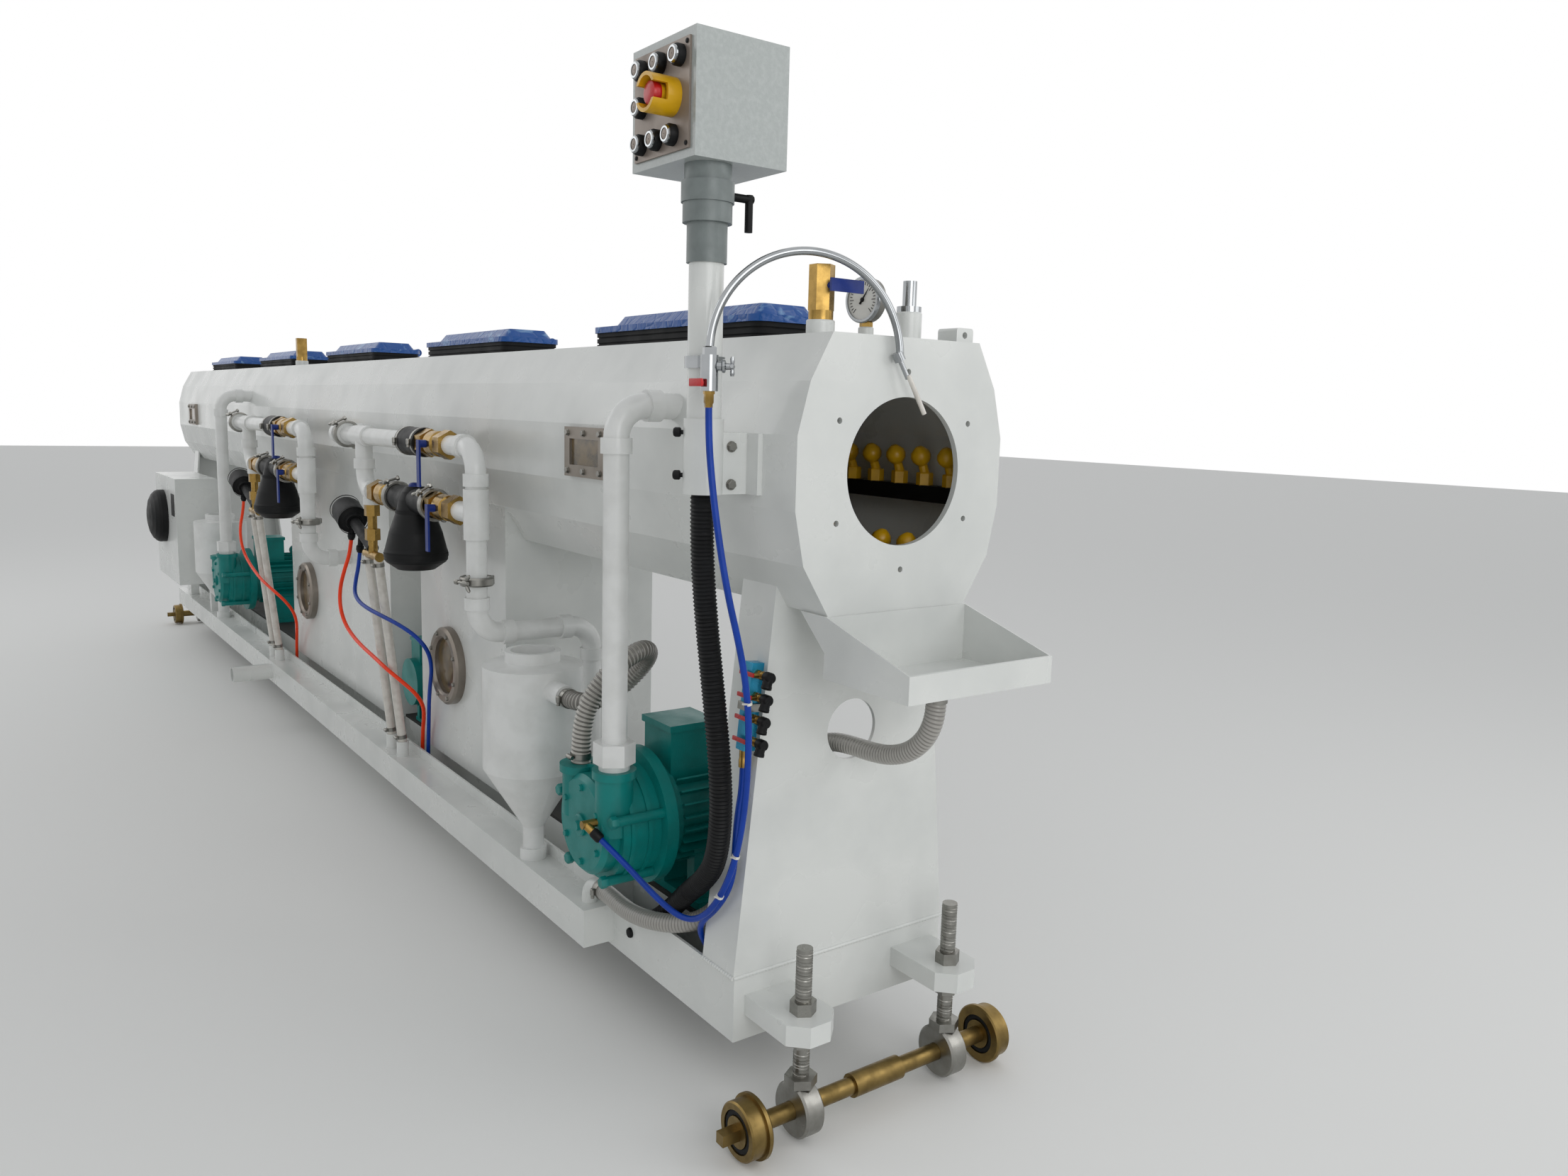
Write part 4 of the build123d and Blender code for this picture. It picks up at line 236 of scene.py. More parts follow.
# Finishes: material's name, base, stain, then finish's other values in their order, from
# roughness to depth, and the settings that differ from its own.
FINISHES = {
    # Gloss two-pack paint on folded steel: faint grey handling marks, light orange peel.
    "white_paint": ("gloss_white_paint", "#dcdedb", "#c3c6c4", 0.3, 0.08, 180, 5.0, 0.03,
        {"coat": 0.2}),
    # Glued pressure pipe: plain white plastic with a satin skin and grey smears.
    "white_plastic": ("white_pipe_plastic", "#e2e3e1", "#c2c3bf", 0.36, 0.08, 70, 2.0, 0.02,
        {"coat": 0.2}),
    # Extruded black rubber: dull, with grey dust in the grooves.
    "black_rubber": ("black_seal_rubber", "#101112", "#2a2c2e", 0.66, 0.1, 60, 1.2, 0.06,
        {"specular": 0.2}),
    # Sprayed machine enamel on iron castings: gloss over a sandy cast skin.
    "teal_paint": ("teal_machine_enamel", "#007d78", "#005b56", 0.42, 0.1, 70, 4.0, 0.25,
        {"coat": 0.1, "specular": 0.3}),
    # Turned and cast brass that has dulled a little.
    "brass": ("machined_brass", "#a5864a", "#614a24", 0.3, 0.1, 24, 0.8, 0.02, {"metallic": 1.0}),
    # Bright zinc on bolts, screws, hinges and clamps.
    "steel": ("zinc_plated_steel", "#93928d", "#65625d", 0.34, 0.1, 30, 1.0, 0.03,
        {"metallic": 1.0}),
    # Window frames of brushed stainless plate with a warm cast.
    "frame_steel": ("brushed_frame_plate", "#8b837a", "#6d665e", 0.38, 0.08, 60, 1.5, 0.05,
        {"metallic": 0.7, "stretch": (0.08, 1, 1)}),
    # Yellow passivated zinc on wheels and axles, its rainbow dulled to straw and olive.
    "zinc": ("yellow_zinc_steel", "#857044", "#4c3f25", 0.38, 0.1, 25, 1.0, 0.03,
        {"metallic": 1.0}),
    # Polished chrome plate.
    "chrome": ("chrome_plate", "#a3a6a8", "#85888a", 0.1, 0.04, 50, 0.8, 0.003, {"metallic": 1.0}),
    # Hammer paint: dimples a few millimetres across.
    "grey_paint": ("grey_hammer_paint", "#a3a9a7", "#bdc2c0", 0.4, 0.08, 9, 4.0, 0.5,
        {"coat": 0.3}),
    # Cast collar, greener than the box on it; its darker grey is painted shade from the box above.
    "collar_grey": ("collar_grey_painted_shade", "#747c7b", "#5d6463", 0.4, 0.08, 30, 2.5, 0.12, {}),
    # Brushed steel sheet: scratches that run along the panel.
    "brushed": ("brushed_panel_steel", "#8d8279", "#70665e", 0.46, 0.08, 60, 1.6, 0.06,
        {"metallic": 0.35, "stretch": (0.03, 1, 1)}),
    # Injection moulded black nylon.
    "black_plastic": ("black_nylon", "#0b0c0d", "#1b1d1f", 0.5, 0.1, 40, 1.5, 0.06,
        {"specular": 0.2}),
    # Dipped blue vinyl on the valves' levers, and the filters' blue caps.
    "blue_plastic": ("blue_dipped_vinyl", "#15307f", "#0e225e", 0.36, 0.08, 40, 1.0, 0.03,
        {"specular": 0.3}),
    # Extruded polyurethane tube, blue all through, with a soft shine.
    "blue_tube": ("blue_polyurethane_tube", "#003a9f", "#002b78", 0.36, 0.06, 50, 2.0, 0.02,
        {"specular": 0.3}),
    # The same tube in signal orange.
    "orange_plastic": ("orange_polyurethane_tube", "#ff4314", "#d93008", 0.3, 0.06, 50, 2.0, 0.02,
        {"specular": 0.3}),
    # Anodised aluminium manifold.
    "anodised": ("blue_anodised_aluminium", "#1f93bb", "#15708f", 0.3, 0.08, 30, 1.0, 0.02,
        {"metallic": 0.4}),
    # Dipped red vinyl on levers, and the moulded stop button.
    "red_plastic": ("red_dipped_vinyl", "#c3161c", "#8e0f14", 0.32, 0.08, 20, 1.0, 0.03, {}),
    # Moulded yellow plastic of the main switch and the spray heads.
    "yellow_plastic": ("yellow_moulded_plastic", "#d9a70e", "#a87a12", 0.34, 0.06, 30, 1.0, 0.03,
        {}),
    # Nylon ties.
    "natural_nylon": ("natural_nylon", "#e4e2da", "#cfccc2", 0.45, 0.06, 10, 1.0, 0.02, {}),
    # Clear hose with a milky wall and streaks along it.
    "clear_hose": ("milky_clear_hose", "#d9d5cd", "#a79f96", 0.22, 0.06, 26, 6.0, 0.1,
        {"stretch": (1, 1, 0.05), "coat": 0.6}),
    # Sight glass, dark brown with darker patches: painted shade for the dim inside of the tank
    # seen through it.
    "glass": ("sight_glass_painted_shade", "#6d5a38", "#2d271d", 0.2, 0.06, 30, 3.0, 0.02,
        {"coat": 0.4, "share": 1.0}),
    # White dial paper.
    "dial": ("printed_dial", "#e9e9e5", "#d8d8d2", 0.5, 0.05, 30, 1.0, 0.01, {}),
    # Dark, dull finish on the floor plates of the pump bays, darker than the white frame round
    # them.
    "dark_bay_floor": ("dark_bay_floor_finish", "#2a2b2c", "#46453f", 0.66, 0.1, 90, 4.0, 0.4,
        {"specular": 0.2}),
}


def make_materials():
    """Finishes by the names of the record's slots, and others that only the scene has."""
    made = {}
    for slot, (name, base, stain, *sizes, settings) in FINISHES.items():
        made[slot] = finish(name, base, stain, *sizes, **settings)
    # Blue peel-off film that is still on the polished lids.
    made["blue_film"] = film("blue_peel_film")
    # Wire-wound suction hose: grey wall with a paler rib round the wire.
    made["spiral_hose"] = banded_hose("wire_wound_hose", "#6f6c66", "#aeaba3", 9.0, 0.5)
    # Clear drain hose with a wound wire and a red tracer line.
    made["tracer_hose"] = banded_hose(
        "clear_wire_hose", "#a09d97", "#7f7c77", 7.0, 0.4, tracer="#a3252b")
    return made


# Half the floor's width and the lamps' width in metres; each lamp's name, place and target in
# millimetres about the line, and its power.
FLOOR_HALF = 30
LAMP_SIZE = 3.0
LAMPS = (("key", (4500, -1200, 2400), (-600, 0, 800), 60),
         ("fill", (3000, 2800, 3200), (-1500, 0, 900), 35),
         ("rear", (-6500, -3600, 4300), (-4000, 0, 900), 35))
SKY_STRENGTH = 0.52


def set_stage():
    """Pale floor, three area lamps, and a sky that looks brighter than it lights."""
    bm = bmesh.new()
    bmesh.ops.create_grid(bm, x_segments=1, y_segments=1, size=FLOOR_HALF)
    mesh = mesh_of("floor", bm)
    floor = show("floor", mesh)
    paint = material("pale_floor", {"Base Color": colour("#f4f4f2"), "Roughness": 0.7})[0]
    mesh.materials.append(paint)
    world = bpy.data.worlds.new("studio")
    scene.world = world
    world.use_nodes = True
    tree = world.node_tree
    sky = tree.nodes["Background"]
    sky.inputs["Color"].default_value = colour("#f4f6f8")
    sky.inputs["Strength"].default_value = SKY_STRENGTH
    seen = add(tree, "ShaderNodeBackground", {"Color": colour("#ffffff"), "Strength": 1.0})
    ray = add(tree, "ShaderNodeLightPath").outputs
    shown = calc(tree, "MAXIMUM", ray["Is Camera Ray"], ray["Is Glossy Ray"])
    shown = calc(tree, "MAXIMUM", shown, ray["Is Transmission Ray"])
    both = add(tree, "ShaderNodeMixShader", {0: shown, 1: sky.outputs[0], 2: seen.outputs[0]})
    tree.links.new(both.outputs[0], tree.nodes["World Output"].inputs["Surface"])
    for name, place, target, power in LAMPS:
        lamp = bpy.data.lights.new(name, "AREA")
        lamp.energy = power
        lamp.size = LAMP_SIZE
        holder = show(name, lamp)
        holder.location = at(*place)
        holder.rotation_euler = (at(*target) - at(*place)).to_track_quat("-Z", "Y").to_euler()


# Routes of the free hoses, the same points as the solids have, in millimetres about the line.
ROUTES = {
    "cable_conduit": [
        (-155, -330, 1195), (-155, -330, 1105), (-150, -322, 985), (-135, -313, 850),
        (-118, -306, 715), (-117, -301, 610), (-140, -296, 517), (-200, -285, 458),
        (-285, -262, 402), (-395, -231, 320), (-500, -219, 243), (-590, -215, 205),
        (-660, -215, 205)],
    "spout_hose": [
        (-85, -365, 1371), (-85, -365, 1305), (-76, -361, 1215), (-63, -353, 1120),
        (-52, -340, 1030), (-46, -322, 955), (-46, -305, 885), (-52, -291, 810),
        (-62, -283, 725), (-73, -280, 640), (-88, -282, 560), (-110, -288, 490),
        (-150, -294, 424), (-198, -299, 384), (-240, -309, 376), (-278, -326, 393),
        (-315, -349, 426), (-355, -375, 466), (-399, -406, 507.5)],
    "block_hose": [
        (-144, -238, 700), (-144, -238, 655), (-142, -249, 600), (-134, -258, 548),
        (-130, -262, 498), (-146, -264, 450), (-180, -268, 404), (-220, -271, 368),
        (-246, -262, 334), (-252, -238, 292), (-252, -218, 246), (-252, -211, 206),
        (-252, -211, 184)],
    "discharge_hose": [
        (-563.5, -360, 607), (-563.5, -360, 662), (-560, -350, 720), (-552, -322, 774),
        (-545, -276, 816), (-553, -224, 836), (-584, -186, 822), (-622, -180, 785),
        (-648, -207, 742), (-660, -250, 712), (-682, -287, 698), (-722.5, -299.5, 695),
        (-762.5, -299.5, 695)],
    "tray_hose": [
        (90, 20, 850), (90, 20, 822), (86, 18, 790), (70, 15, 757), (38, 10, 727),
        (-8, 5, 709), (-58, -1, 704), (-112, -8, 706), (-164, -16, 702), (-210, -33, 680),
        (-241, -58, 636), (-254, -88, 578), (-257, -118, 518), (-257, -148, 458),
        (-258, -178, 402), (-268, -206, 359), (-289, -233, 332), (-322, -258, 318),
        (-367, -280, 309), (-425, -293, 301), (-485, -298, 298), (-540, -299.5, 305),
        (-595, -299.5, 305)],
    "front_air_hose": [
        (-2183.177, -360, 909.158), (-2199.455, -360, 861.882), (-2230, -372, 800),
        (-2255, -380, 740), (-2254, -382, 680), (-2222, -378, 632), (-2163, -372, 601),
        (-2080, -366, 579), (-1985, -358, 562), (-1900, -348, 541), (-1845, -322, 512),
        (-1822, -286, 474), (-1836, -258, 430), (-1872, -244, 385), (-1906, -237, 332),
        (-1922, -234, 272), (-1925, -234, 214), (-1925, -234, 184)],
    "rear_air_hose": [
        (-3759.177, -360, 909.158), (-3775.455, -360, 861.882), (-3786, -372, 800),
        (-3766, -377, 742), (-3718, -376, 690), (-3650, -370, 652), (-3570, -364, 624),
        (-3480, -358, 600), (-3397, -336, 570), (-3350, -302, 531), (-3354, -270, 484),
        (-3385, -251, 434), (-3432, -241, 378), (-3464, -236, 318), (-3475, -234, 262),
        (-3477, -234, 214), (-3477, -234, 184)],
    "front_signal_hose": [
        (-2094.298, -360, 878.555), (-2110.576, -360, 831.279), (-2107, -371, 788),
        (-2072, -387, 752), (-2005, -393, 733), (-1925, -387, 722), (-1845, -371, 712),
        (-1770, -346, 696), (-1720, -314, 668), (-1706, -284, 624), (-1726, -268, 568),
        (-1765, -261, 505), (-1808, -250, 445), (-1842, -240, 385), (-1862, -235, 325),
        (-1870, -234, 268), (-1871, -234, 214), (-1871, -234, 184)],
}
# Steps from point to point of a smooth hose and of one whose ribs are drawn, and their sides.
SMOOTH_STEPS = 24
RIBBED_STEPS = 96
SMOOTH_ROUNDNESS = 5
RIBBED_SIDES = 24


def route_line(name, steps):
    """Smooth line led by a route's points, drawn in a number of steps from each to the next."""
    curve = bpy.data.curves.new(name, "CURVE")
    curve.dimensions = "3D"
    spline = curve.splines.new("NURBS")
    spline.points.add(len(ROUTES[name]) - 1)
    for point, place in zip(spline.points, ROUTES[name]):
        point.co = (*at(*place), 1)
    spline.order_u = 3
    spline.use_endpoint_u = True
    spline.resolution_u = steps
    return curve


def ribbed_tube(bm, spots, radius, pitch, depth, lead, sides):
    """Closed tube along points with ribs, spiral if they have a lead; maps round and along."""
    layer = bm.loops.layers.uv.get("hose") or bm.loops.layers.uv.new("hose")
    side = (spots[1] - spots[0]).orthogonal().normalized()
    rows, run = [], 0.0
    for i, spot in enumerate(spots):
        way = (spots[min(i + 1, len(spots) - 1)] - spots[max(i - 1, 0)]).normalized()
        side = (side - way * side.dot(way)).normalized()
        other = way.cross(side)
        if i:
            run += (spot - spots[i - 1]).length
        ring = []
        for j in range(sides):
            angle = 2 * pi * j / sides
            wave = cos(2 * pi * (run / pitch + lead * j / sides))
            far = radius - depth * (0.5 - 0.5 * wave)
            ring.append(bm.verts.new(spot + (side * cos(angle) + other * sin(angle)) * far))
        rows.append((ring, run))
    for (low, start), (high, end) in zip(rows, rows[1:]):
        for j in range(sides):
            k = (j + 1) % sides
            face = bm.faces.new((low[j], low[k], high[k], high[j]))
            for loop, u, v in zip(face.loops, (j, j + 1, j + 1, j), (start, start, end, end)):
                loop[layer].uv = (u / sides, v)
    bm.faces.new(rows[0][0][::-1])
    bm.faces.new(rows[-1][0])


def dress(made, *names):
    """Gives CAD nodes a material."""
    for name in names:
        for slot in nodes[name].material_slots:
            slot.material = made


# Edges that turn by more than this show as sharp.
SHARP = radians(35)


def stand(name, mesh, made, body):
    """Piece from a finished mesh, smooth but for its sharp edges, that rides on a body."""
    mesh.materials.clear()
    mesh.materials.append(made)
    mesh.polygons.foreach_set("use_smooth", [True] * len(mesh.polygons))
    mesh.set_sharp_from_angle(angle=SHARP)
    piece = show(name, mesh)
    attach(piece, body)
    return piece


def piece_of(name, bm, made, kind, body="machine", place=Matrix.Identity(4)):
    """Piece in one of the finishes, from a mesh in millimetres about the line or a place there.
    """
    bmesh.ops.remove_doubles(bm, verts=bm.verts, dist=0.001)
    bmesh.ops.recalc_face_normals(bm, faces=bm.faces)
    for vert in bm.verts:
        vert.co = at(*(place @ vert.co))
    return stand(name, mesh_of(name, bm), made[kind], body)


def lay_hose(name, diameter, made):
    """Free hose as a smooth round tube along its route."""
    curve = route_line(name, SMOOTH_STEPS)
    curve.bevel_depth = diameter / 2000
    curve.bevel_resolution = SMOOTH_ROUNDNESS
    curve.use_fill_caps = True
    curve.materials.append(made)
    piece = show(name + "_tube", curve)
    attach(piece, "machine")
    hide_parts(name)


def lay_ribbed_hose(name, diameter, made, pitch, depth, lead):
    """Free hose with ribs, along points read from its route's smooth line."""
    curve = route_line(name, RIBBED_STEPS)
    holder = show(name + "_line", curve)
    drawn = holder.evaluated_get(bpy.context.evaluated_depsgraph_get())
    read = bpy.data.meshes.new_from_object(drawn)
    points = [vert.co.copy() for vert in read.vertices]
    bpy.data.objects.remove(holder)
    bpy.data.meshes.remove(read)
    bm = bmesh.new()
    ribbed_tube(bm, points, diameter / 2000, pitch / 1000, depth / 1000, lead, RIBBED_SIDES)
    piece = stand(name + "_tube", mesh_of(name, bm), made, "machine")
    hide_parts(name)


def lay_hoses(made):
    """The free hoses, with their diameter, then the ribs' pitch, depth and lead."""
    lay_ribbed_hose("cable_conduit", 43, made["black_plastic"],
                    7, 2.4, 0)
    lay_ribbed_hose("discharge_hose", 42, made["spiral_hose"],
                    9, 2.2, 1)
    lay_ribbed_hose("tray_hose", 38, made["tracer_hose"],
                    7, 0.7, 1)
    blue, orange = made["blue_tube"], made["orange_plastic"]
    lay_hose("spout_hose", 12, blue)
    lay_hose("block_hose", 12, blue)
    lay_hose("front_air_hose", 12, orange)
    lay_hose("rear_air_hose", 12, orange)
    lay_hose("front_signal_hose", 12, blue)


def turn(bm, start, way, outline, sides=24, ring=False):
    """Adds a turned shape through (distance, diameter) points; a ring's outline is closed."""
    axis = Vector(way).normalized()
    side = axis.orthogonal().normalized()
    other = axis.cross(side)
    rows = []
    for far, wide in outline:
        row = []
        for i in range(sides):
            angle = 2 * pi * i / sides
            out = (side * cos(angle) + other * sin(angle)) * wide / 2
            row.append(bm.verts.new(Vector(start) + axis * far + out))
        rows.append(row)
    pairs = list(zip(rows, rows[1:]))
    if ring:
        pairs.append((rows[-1], rows[0]))
    for low, high in pairs:
        for i in range(sides):
            k = (i + 1) % sides
            bm.faces.new((low[i], low[k], high[k], high[i]))
    if not ring:
        bm.faces.new(rows[0][::-1])
        bm.faces.new(rows[-1])


def plate(bm, low, high, ease):
    """Adds a block between two corners with eased edges."""
    middle = (Vector(low) + Vector(high)) / 2
    size = Vector(high) - Vector(low)
    place = Matrix.Translation(middle) @ Matrix.Diagonal((*size, 1))
    cube = bmesh.ops.create_cube(bm, size=1.0, matrix=place)
    edges = list({edge for vert in cube["verts"] for edge in vert.link_edges})
    bmesh.ops.bevel(bm, geom=edges, offset=ease, segments=2, affect="EDGES", profile=0.7)


def bolt(bm, start, way, size):
    """Adds a hexagon bolt head on its washer, for a thread of a given size."""
    washer, head, crown = size * 2.2, size * 1.9, size * 1.6
    seat, rim, top = size * 0.2, size * 0.75, size * 0.9
    turn(bm, start, way, [(0, washer), (seat, washer)], 16)
    turn(bm, start, way, [(seat, head), (rim, head), (top, crown)], HEXAGON)


# Widths of a hose band and of a clamp ring along the pipe.
BAND_WIDTH = 12
CLAMP_WIDTH = 22


def hose_clamp(bm, middle, way, diameter):
    """Adds a worm-drive band with its screw housing."""
    axis = Vector(way).normalized()
    start = Vector(middle) - axis * (BAND_WIDTH / 2)
    outer = diameter + 3
    band = [(0, diameter), (0, outer), (BAND_WIDTH, outer), (BAND_WIDTH, diameter)]
    turn(bm, start, axis, band, 32, True)
    side = Vector(OUT) if abs(axis.y) < 0.7 else Vector(AHEAD)
    side = (side - axis * side.dot(axis)).normalized()
    across = axis.cross(side)
    housing = Vector(middle) + side * (diameter / 2 + 5)
    turn(bm, housing - across * 9, across, [(0, 8), (2, 11), (14, 11), (16, 8), (22, 8)], 12)


def wing_clamp(bm, middle, way, diameter, side):
    """Adds a two-part clamp ring with a hinge on one side and a wing nut on the other."""
    axis = Vector(way).normalized()
    start = Vector(middle) - axis * (CLAMP_WIDTH / 2)
    bore, lip, crown = diameter - 6, diameter + 4, diameter + 10
    collar = [(0, bore), (0, lip), (4, crown), (CLAMP_WIDTH - 4, crown), (CLAMP_WIDTH, lip),
              (CLAMP_WIDTH, bore)]
    turn(bm, start, axis, collar, 32, True)
    out = Vector(side).normalized()
    across = axis.cross(out)
    hinge = Vector(middle) - out * (diameter / 2 + 8)
    turn(bm, hinge - axis * 9, axis, [(0, 11), (2, 13), (16, 13), (18, 11)], 12)
    ear = Vector(middle) + out * (diameter / 2 + 10)
    turn(bm, ear - across * 16, across, [(0, 7), (40, 7)], 10)
    turn(bm, ear - across * 20, across, [(0, 14), (6, 14), (9, 10)], HEXAGON)
    nut = ear + across * 12
    turn(bm, nut, across, [(0, 17), (8, 15), (14, 9)], 12)
    for way_out in (1, -1):
        wing = nut + across * 8 + axis * way_out * 6
        tip = wing + axis * way_out * 15 + across * 12
        turn(bm, wing, tip - wing, [(0, 7), (8, 10), (15, 9), (19, 4)], 8)


def new_tree(name, inputs):
    """Geometry tree with named inputs; gives the tree and its inputs' sockets."""
    tree = bpy.data.node_groups.new(name, "GeometryNodeTree")
    for label, kind in inputs.items():
        tree.interface.new_socket(label, in_out="INPUT", socket_type="NodeSocket" + kind)
    tree.interface.new_socket("Geometry", in_out="OUTPUT", socket_type="NodeSocketGeometry")
    return tree, add(tree, "NodeGroupInput").outputs


def repeat(tree, points, shape):
    """Shape set on every point."""
    inputs = {"Points": points, "Instance": shape}
    return add(tree, "GeometryNodeInstanceOnPoints", inputs).outputs[0]


def close_tree(tree, shape, made):
    """Ends a tree with plain geometry in one material."""
    real = add(tree, "GeometryNodeRealizeInstances", {"Geometry": shape}).outputs[0]
    done = add(tree, "GeometryNodeSetMaterial", {"Geometry": real, "Material": made}).outputs[0]
    add(tree, "NodeGroupOutput", {"Geometry": done})
    return tree


def row_tree():
    """Rows of one small piece: each starts at a point and runs along the line at a pitch."""
    tree, given = new_tree("rows_of_pieces", {
        "Geometry": "Geometry", "Piece": "Object", "Count": "Int", "Pitch": "Float",
        "Finish": "Material"})
    step = add(tree, "ShaderNodeCombineXYZ", {"X": given["Pitch"]})
    row = add(tree, "GeometryNodeMeshLine", {"Count": given["Count"], "Offset": step.outputs[0]})
    piece = add(tree, "GeometryNodeObjectInfo", {"Object": given["Piece"]})
    filled = repeat(tree, row.outputs[0], piece.outputs["Geometry"])
    return close_tree(tree, repeat(tree, given["Geometry"], filled), given["Finish"])


def thread_tree():
    """Screw threads: a ridge wound up from each point."""
    tree, given = new_tree("screw_threads", {
        "Geometry": "Geometry", "Turns": "Float", "Pitch": "Float", "Radius": "Float",
        "Ridge": "Float", "Finish": "Material"})
    coil = add(tree, "GeometryNodeCurveSpiral", {
        "Resolution": 20, "Rotations": given["Turns"], "Start Radius": given["Radius"],
        "End Radius": given["Radius"],
        "Height": calc(tree, "MULTIPLY", given["Turns"], given["Pitch"])})
    profile = add(tree, "GeometryNodeCurvePrimitiveCircle", {
        "Resolution": 4, "Radius": given["Ridge"]}, mode="RADIUS")
    ridge = add(tree, "GeometryNodeCurveToMesh", {
        "Curve": coil.outputs[0], "Profile Curve": profile.outputs[0], "Fill Caps": True})
    return close_tree(tree, repeat(tree, given["Geometry"], ridge.outputs[0]), given["Finish"])


def grow(name, tree, places, values, made, kind):
    """Piece in one of the finishes, a plain mesh from a tree on points in millimetres."""
    mesh = bpy.data.meshes.new(name)
    mesh.from_pydata([at(*place) for place in places], [], [])
    holder = show(name + "_places", mesh)
    modifier = holder.modifiers.new("grow", "NODES")
    modifier.node_group = tree
    values = {**values, "Finish": made[kind]}
    for item in tree.interface.items_tree:
        if item.in_out == "INPUT" and item.name in values:
            modifier[item.identifier] = values[item.name]
    drawn = holder.evaluated_get(bpy.context.evaluated_depsgraph_get())
    grown = bpy.data.meshes.new_from_object(drawn)
    bpy.data.objects.remove(holder)
    return stand(name, grown, made[kind], "machine")


def seed(bm):
    """Small piece in metres about its own origin, for a tree to repeat."""
    bmesh.ops.recalc_face_normals(bm, faces=bm.faces)
    for vert in bm.verts:
        vert.co /= 1000
    return show("seed", mesh_of("seed", bm))


# Sizes that several pieces below share with the solids, in millimetres about the line.
STATIONS = (-1130, -2706)
PUMPS = (-490, -4240)
SHAFT_HEIGHT = 500
AXLES = {"front_wheelset": -10, "rear_wheelset": -5990}
PIPE_Y = -360
TOP_PIPE = 1235
LOW_PIPE = 1075
ROOF = 1477

# Sight windows: the frames' middles, face and bolts.
WINDOWS = (-765, -5520)
WINDOW_FACE = -256.5
WINDOW_HEIGHT = 1240
WINDOW_BOLT_RISE = 42
WINDOW_BOLT_PITCH = 78
# Sight ports of the water boxes, and the bracket's bolts.
PORTS = (-1695, -3271)
PORT_FACE = -248
PORT_HEIGHT = 578
PORT_BOLT_CIRCLE = 98
BRACKET_BOLTS = ((-135, -285, 1278), (-135, -285, 1212))
# Pump covers: a ring of bolts, and plugs at some angles farther out.
COVER_FACE = -395
COVER_BOLT_CIRCLE = 78
PLUG_FACE = -378
PLUG_CIRCLE = 125
PLUG_ANGLES = (18, 162, 232, 308)
# Jack screws: their place to each side, each thread's foot and turns, and its sizes in metres.
JACK_SIDE = 183
THREADS = (("upper_threads", 276, 19), ("lower_threads", 129, 9))
THREAD_SIZES = {"Pitch": 0.005, "Radius": 0.0148, "Ridge": 0.0011}


def on_face(middle, radius, angle):
    """Point off the middle of a face that looks to the operator."""
    x, y, z = middle
    return (x + radius * cos(angle), y, z + radius * sin(angle))


def bolt_circle(bm, middle, radius, count, size):
    """Adds bolts evenly round a face that looks to the operator."""
    for i in range(count):
        bolt(bm, on_face(middle, radius, 2 * pi * (i + 0.5) / count), OUT, size)


def make_fasteners(made, rows):
    """Bolts on the windows, ports, pump covers and bracket, and threads on the jack screws."""
    bm = bmesh.new()
    bolt(bm, (0, 0, 0), OUT, 7)
    window_bolt = seed(bm)
    places = [(x - WINDOW_BOLT_PITCH, WINDOW_FACE, WINDOW_HEIGHT + rise) for x in WINDOWS
              for rise in (-WINDOW_BOLT_RISE, WINDOW_BOLT_RISE)]
    values = {"Piece": window_bolt, "Count": 3, "Pitch": WINDOW_BOLT_PITCH / 1000}
    grow("window_bolts", rows, places, values, made, "steel")
    bpy.data.objects.remove(window_bolt)

    bm = bmesh.new()
    for x in PORTS:
        bolt_circle(bm, (x, PORT_FACE, PORT_HEIGHT), PORT_BOLT_CIRCLE, 8, 6)
    for place in BRACKET_BOLTS:
        bolt(bm, place, AHEAD, 9)
    piece_of("port_bolts", bm, made, "steel")

    bm = bmesh.new()
    for x in PUMPS:
        cover = (x, COVER_FACE, SHAFT_HEIGHT)
        bolt_circle(bm, cover, COVER_BOLT_CIRCLE, 6, 7)
        for angle in PLUG_ANGLES:
            spot = on_face((x, PLUG_FACE, SHAFT_HEIGHT), PLUG_CIRCLE, radians(angle))
            turn(bm, spot, OUT, [(0, 25), (11, 25), (14, 21)], HEXAGON)
        turn(bm, cover, OUT, [(0, 46), (5, 46), (8, 40), (8, 22), (14, 20)], 24)
    piece_of("pump_cover_bolts", bm, made, "teal_paint")

    threads = thread_tree()
    for name, foot, turns in THREADS:
        places = [(x, y, foot) for x in AXLES.values() for y in (-JACK_SIDE, JACK_SIDE)]
        values = {"Turns": float(turns), **THREAD_SIZES}
        grow(name, threads, places, values, made, "steel")


# Rows of spray heads: where they start, how many there are and their pitch in metres, then each
# row's name, the way its heads lean, and its place across and up.
NOZZLE_START = -5930
NOZZLE_COUNT = 79
NOZZLE_PITCH = 0.075
NOZZLE_ROWS = (("operator_nozzles", (0, 0.35, 0.94), -195, 1203),
               ("far_nozzles", (0, -0.35, 0.94), 195, 1203),
               ("low_operator_nozzles", (0, -0.3, 0.95), -75, 1040),
               ("low_far_nozzles", (0, 0.3, 0.95), 75, 1040))
NOZZLE_BALL = [(0, 20), (18, 18), (22, 27), (28, 37), (37, 41), (46, 36), (52, 25), (57, 12)]


def make_nozzles(made, rows):
    """Spray heads in a row on each water bar: a hexagon foot, a neck and a ball that leans."""
    for name, way, y, z in NOZZLE_ROWS:
        bm = bmesh.new()
        turn(bm, (0, 0, 0), UP, [(0, 34), (24, 34), (26, 30)], HEXAGON)
        turn(bm, (0, 0, 24), way, NOZZLE_BALL, 10)
        nozzle = seed(bm)
        values = {"Piece": nozzle, "Count": NOZZLE_COUNT, "Pitch": NOZZLE_PITCH}
        grow(name, rows, [(NOZZLE_START, y, z)], values, made, "yellow_plastic")
        bpy.data.objects.remove(nozzle)


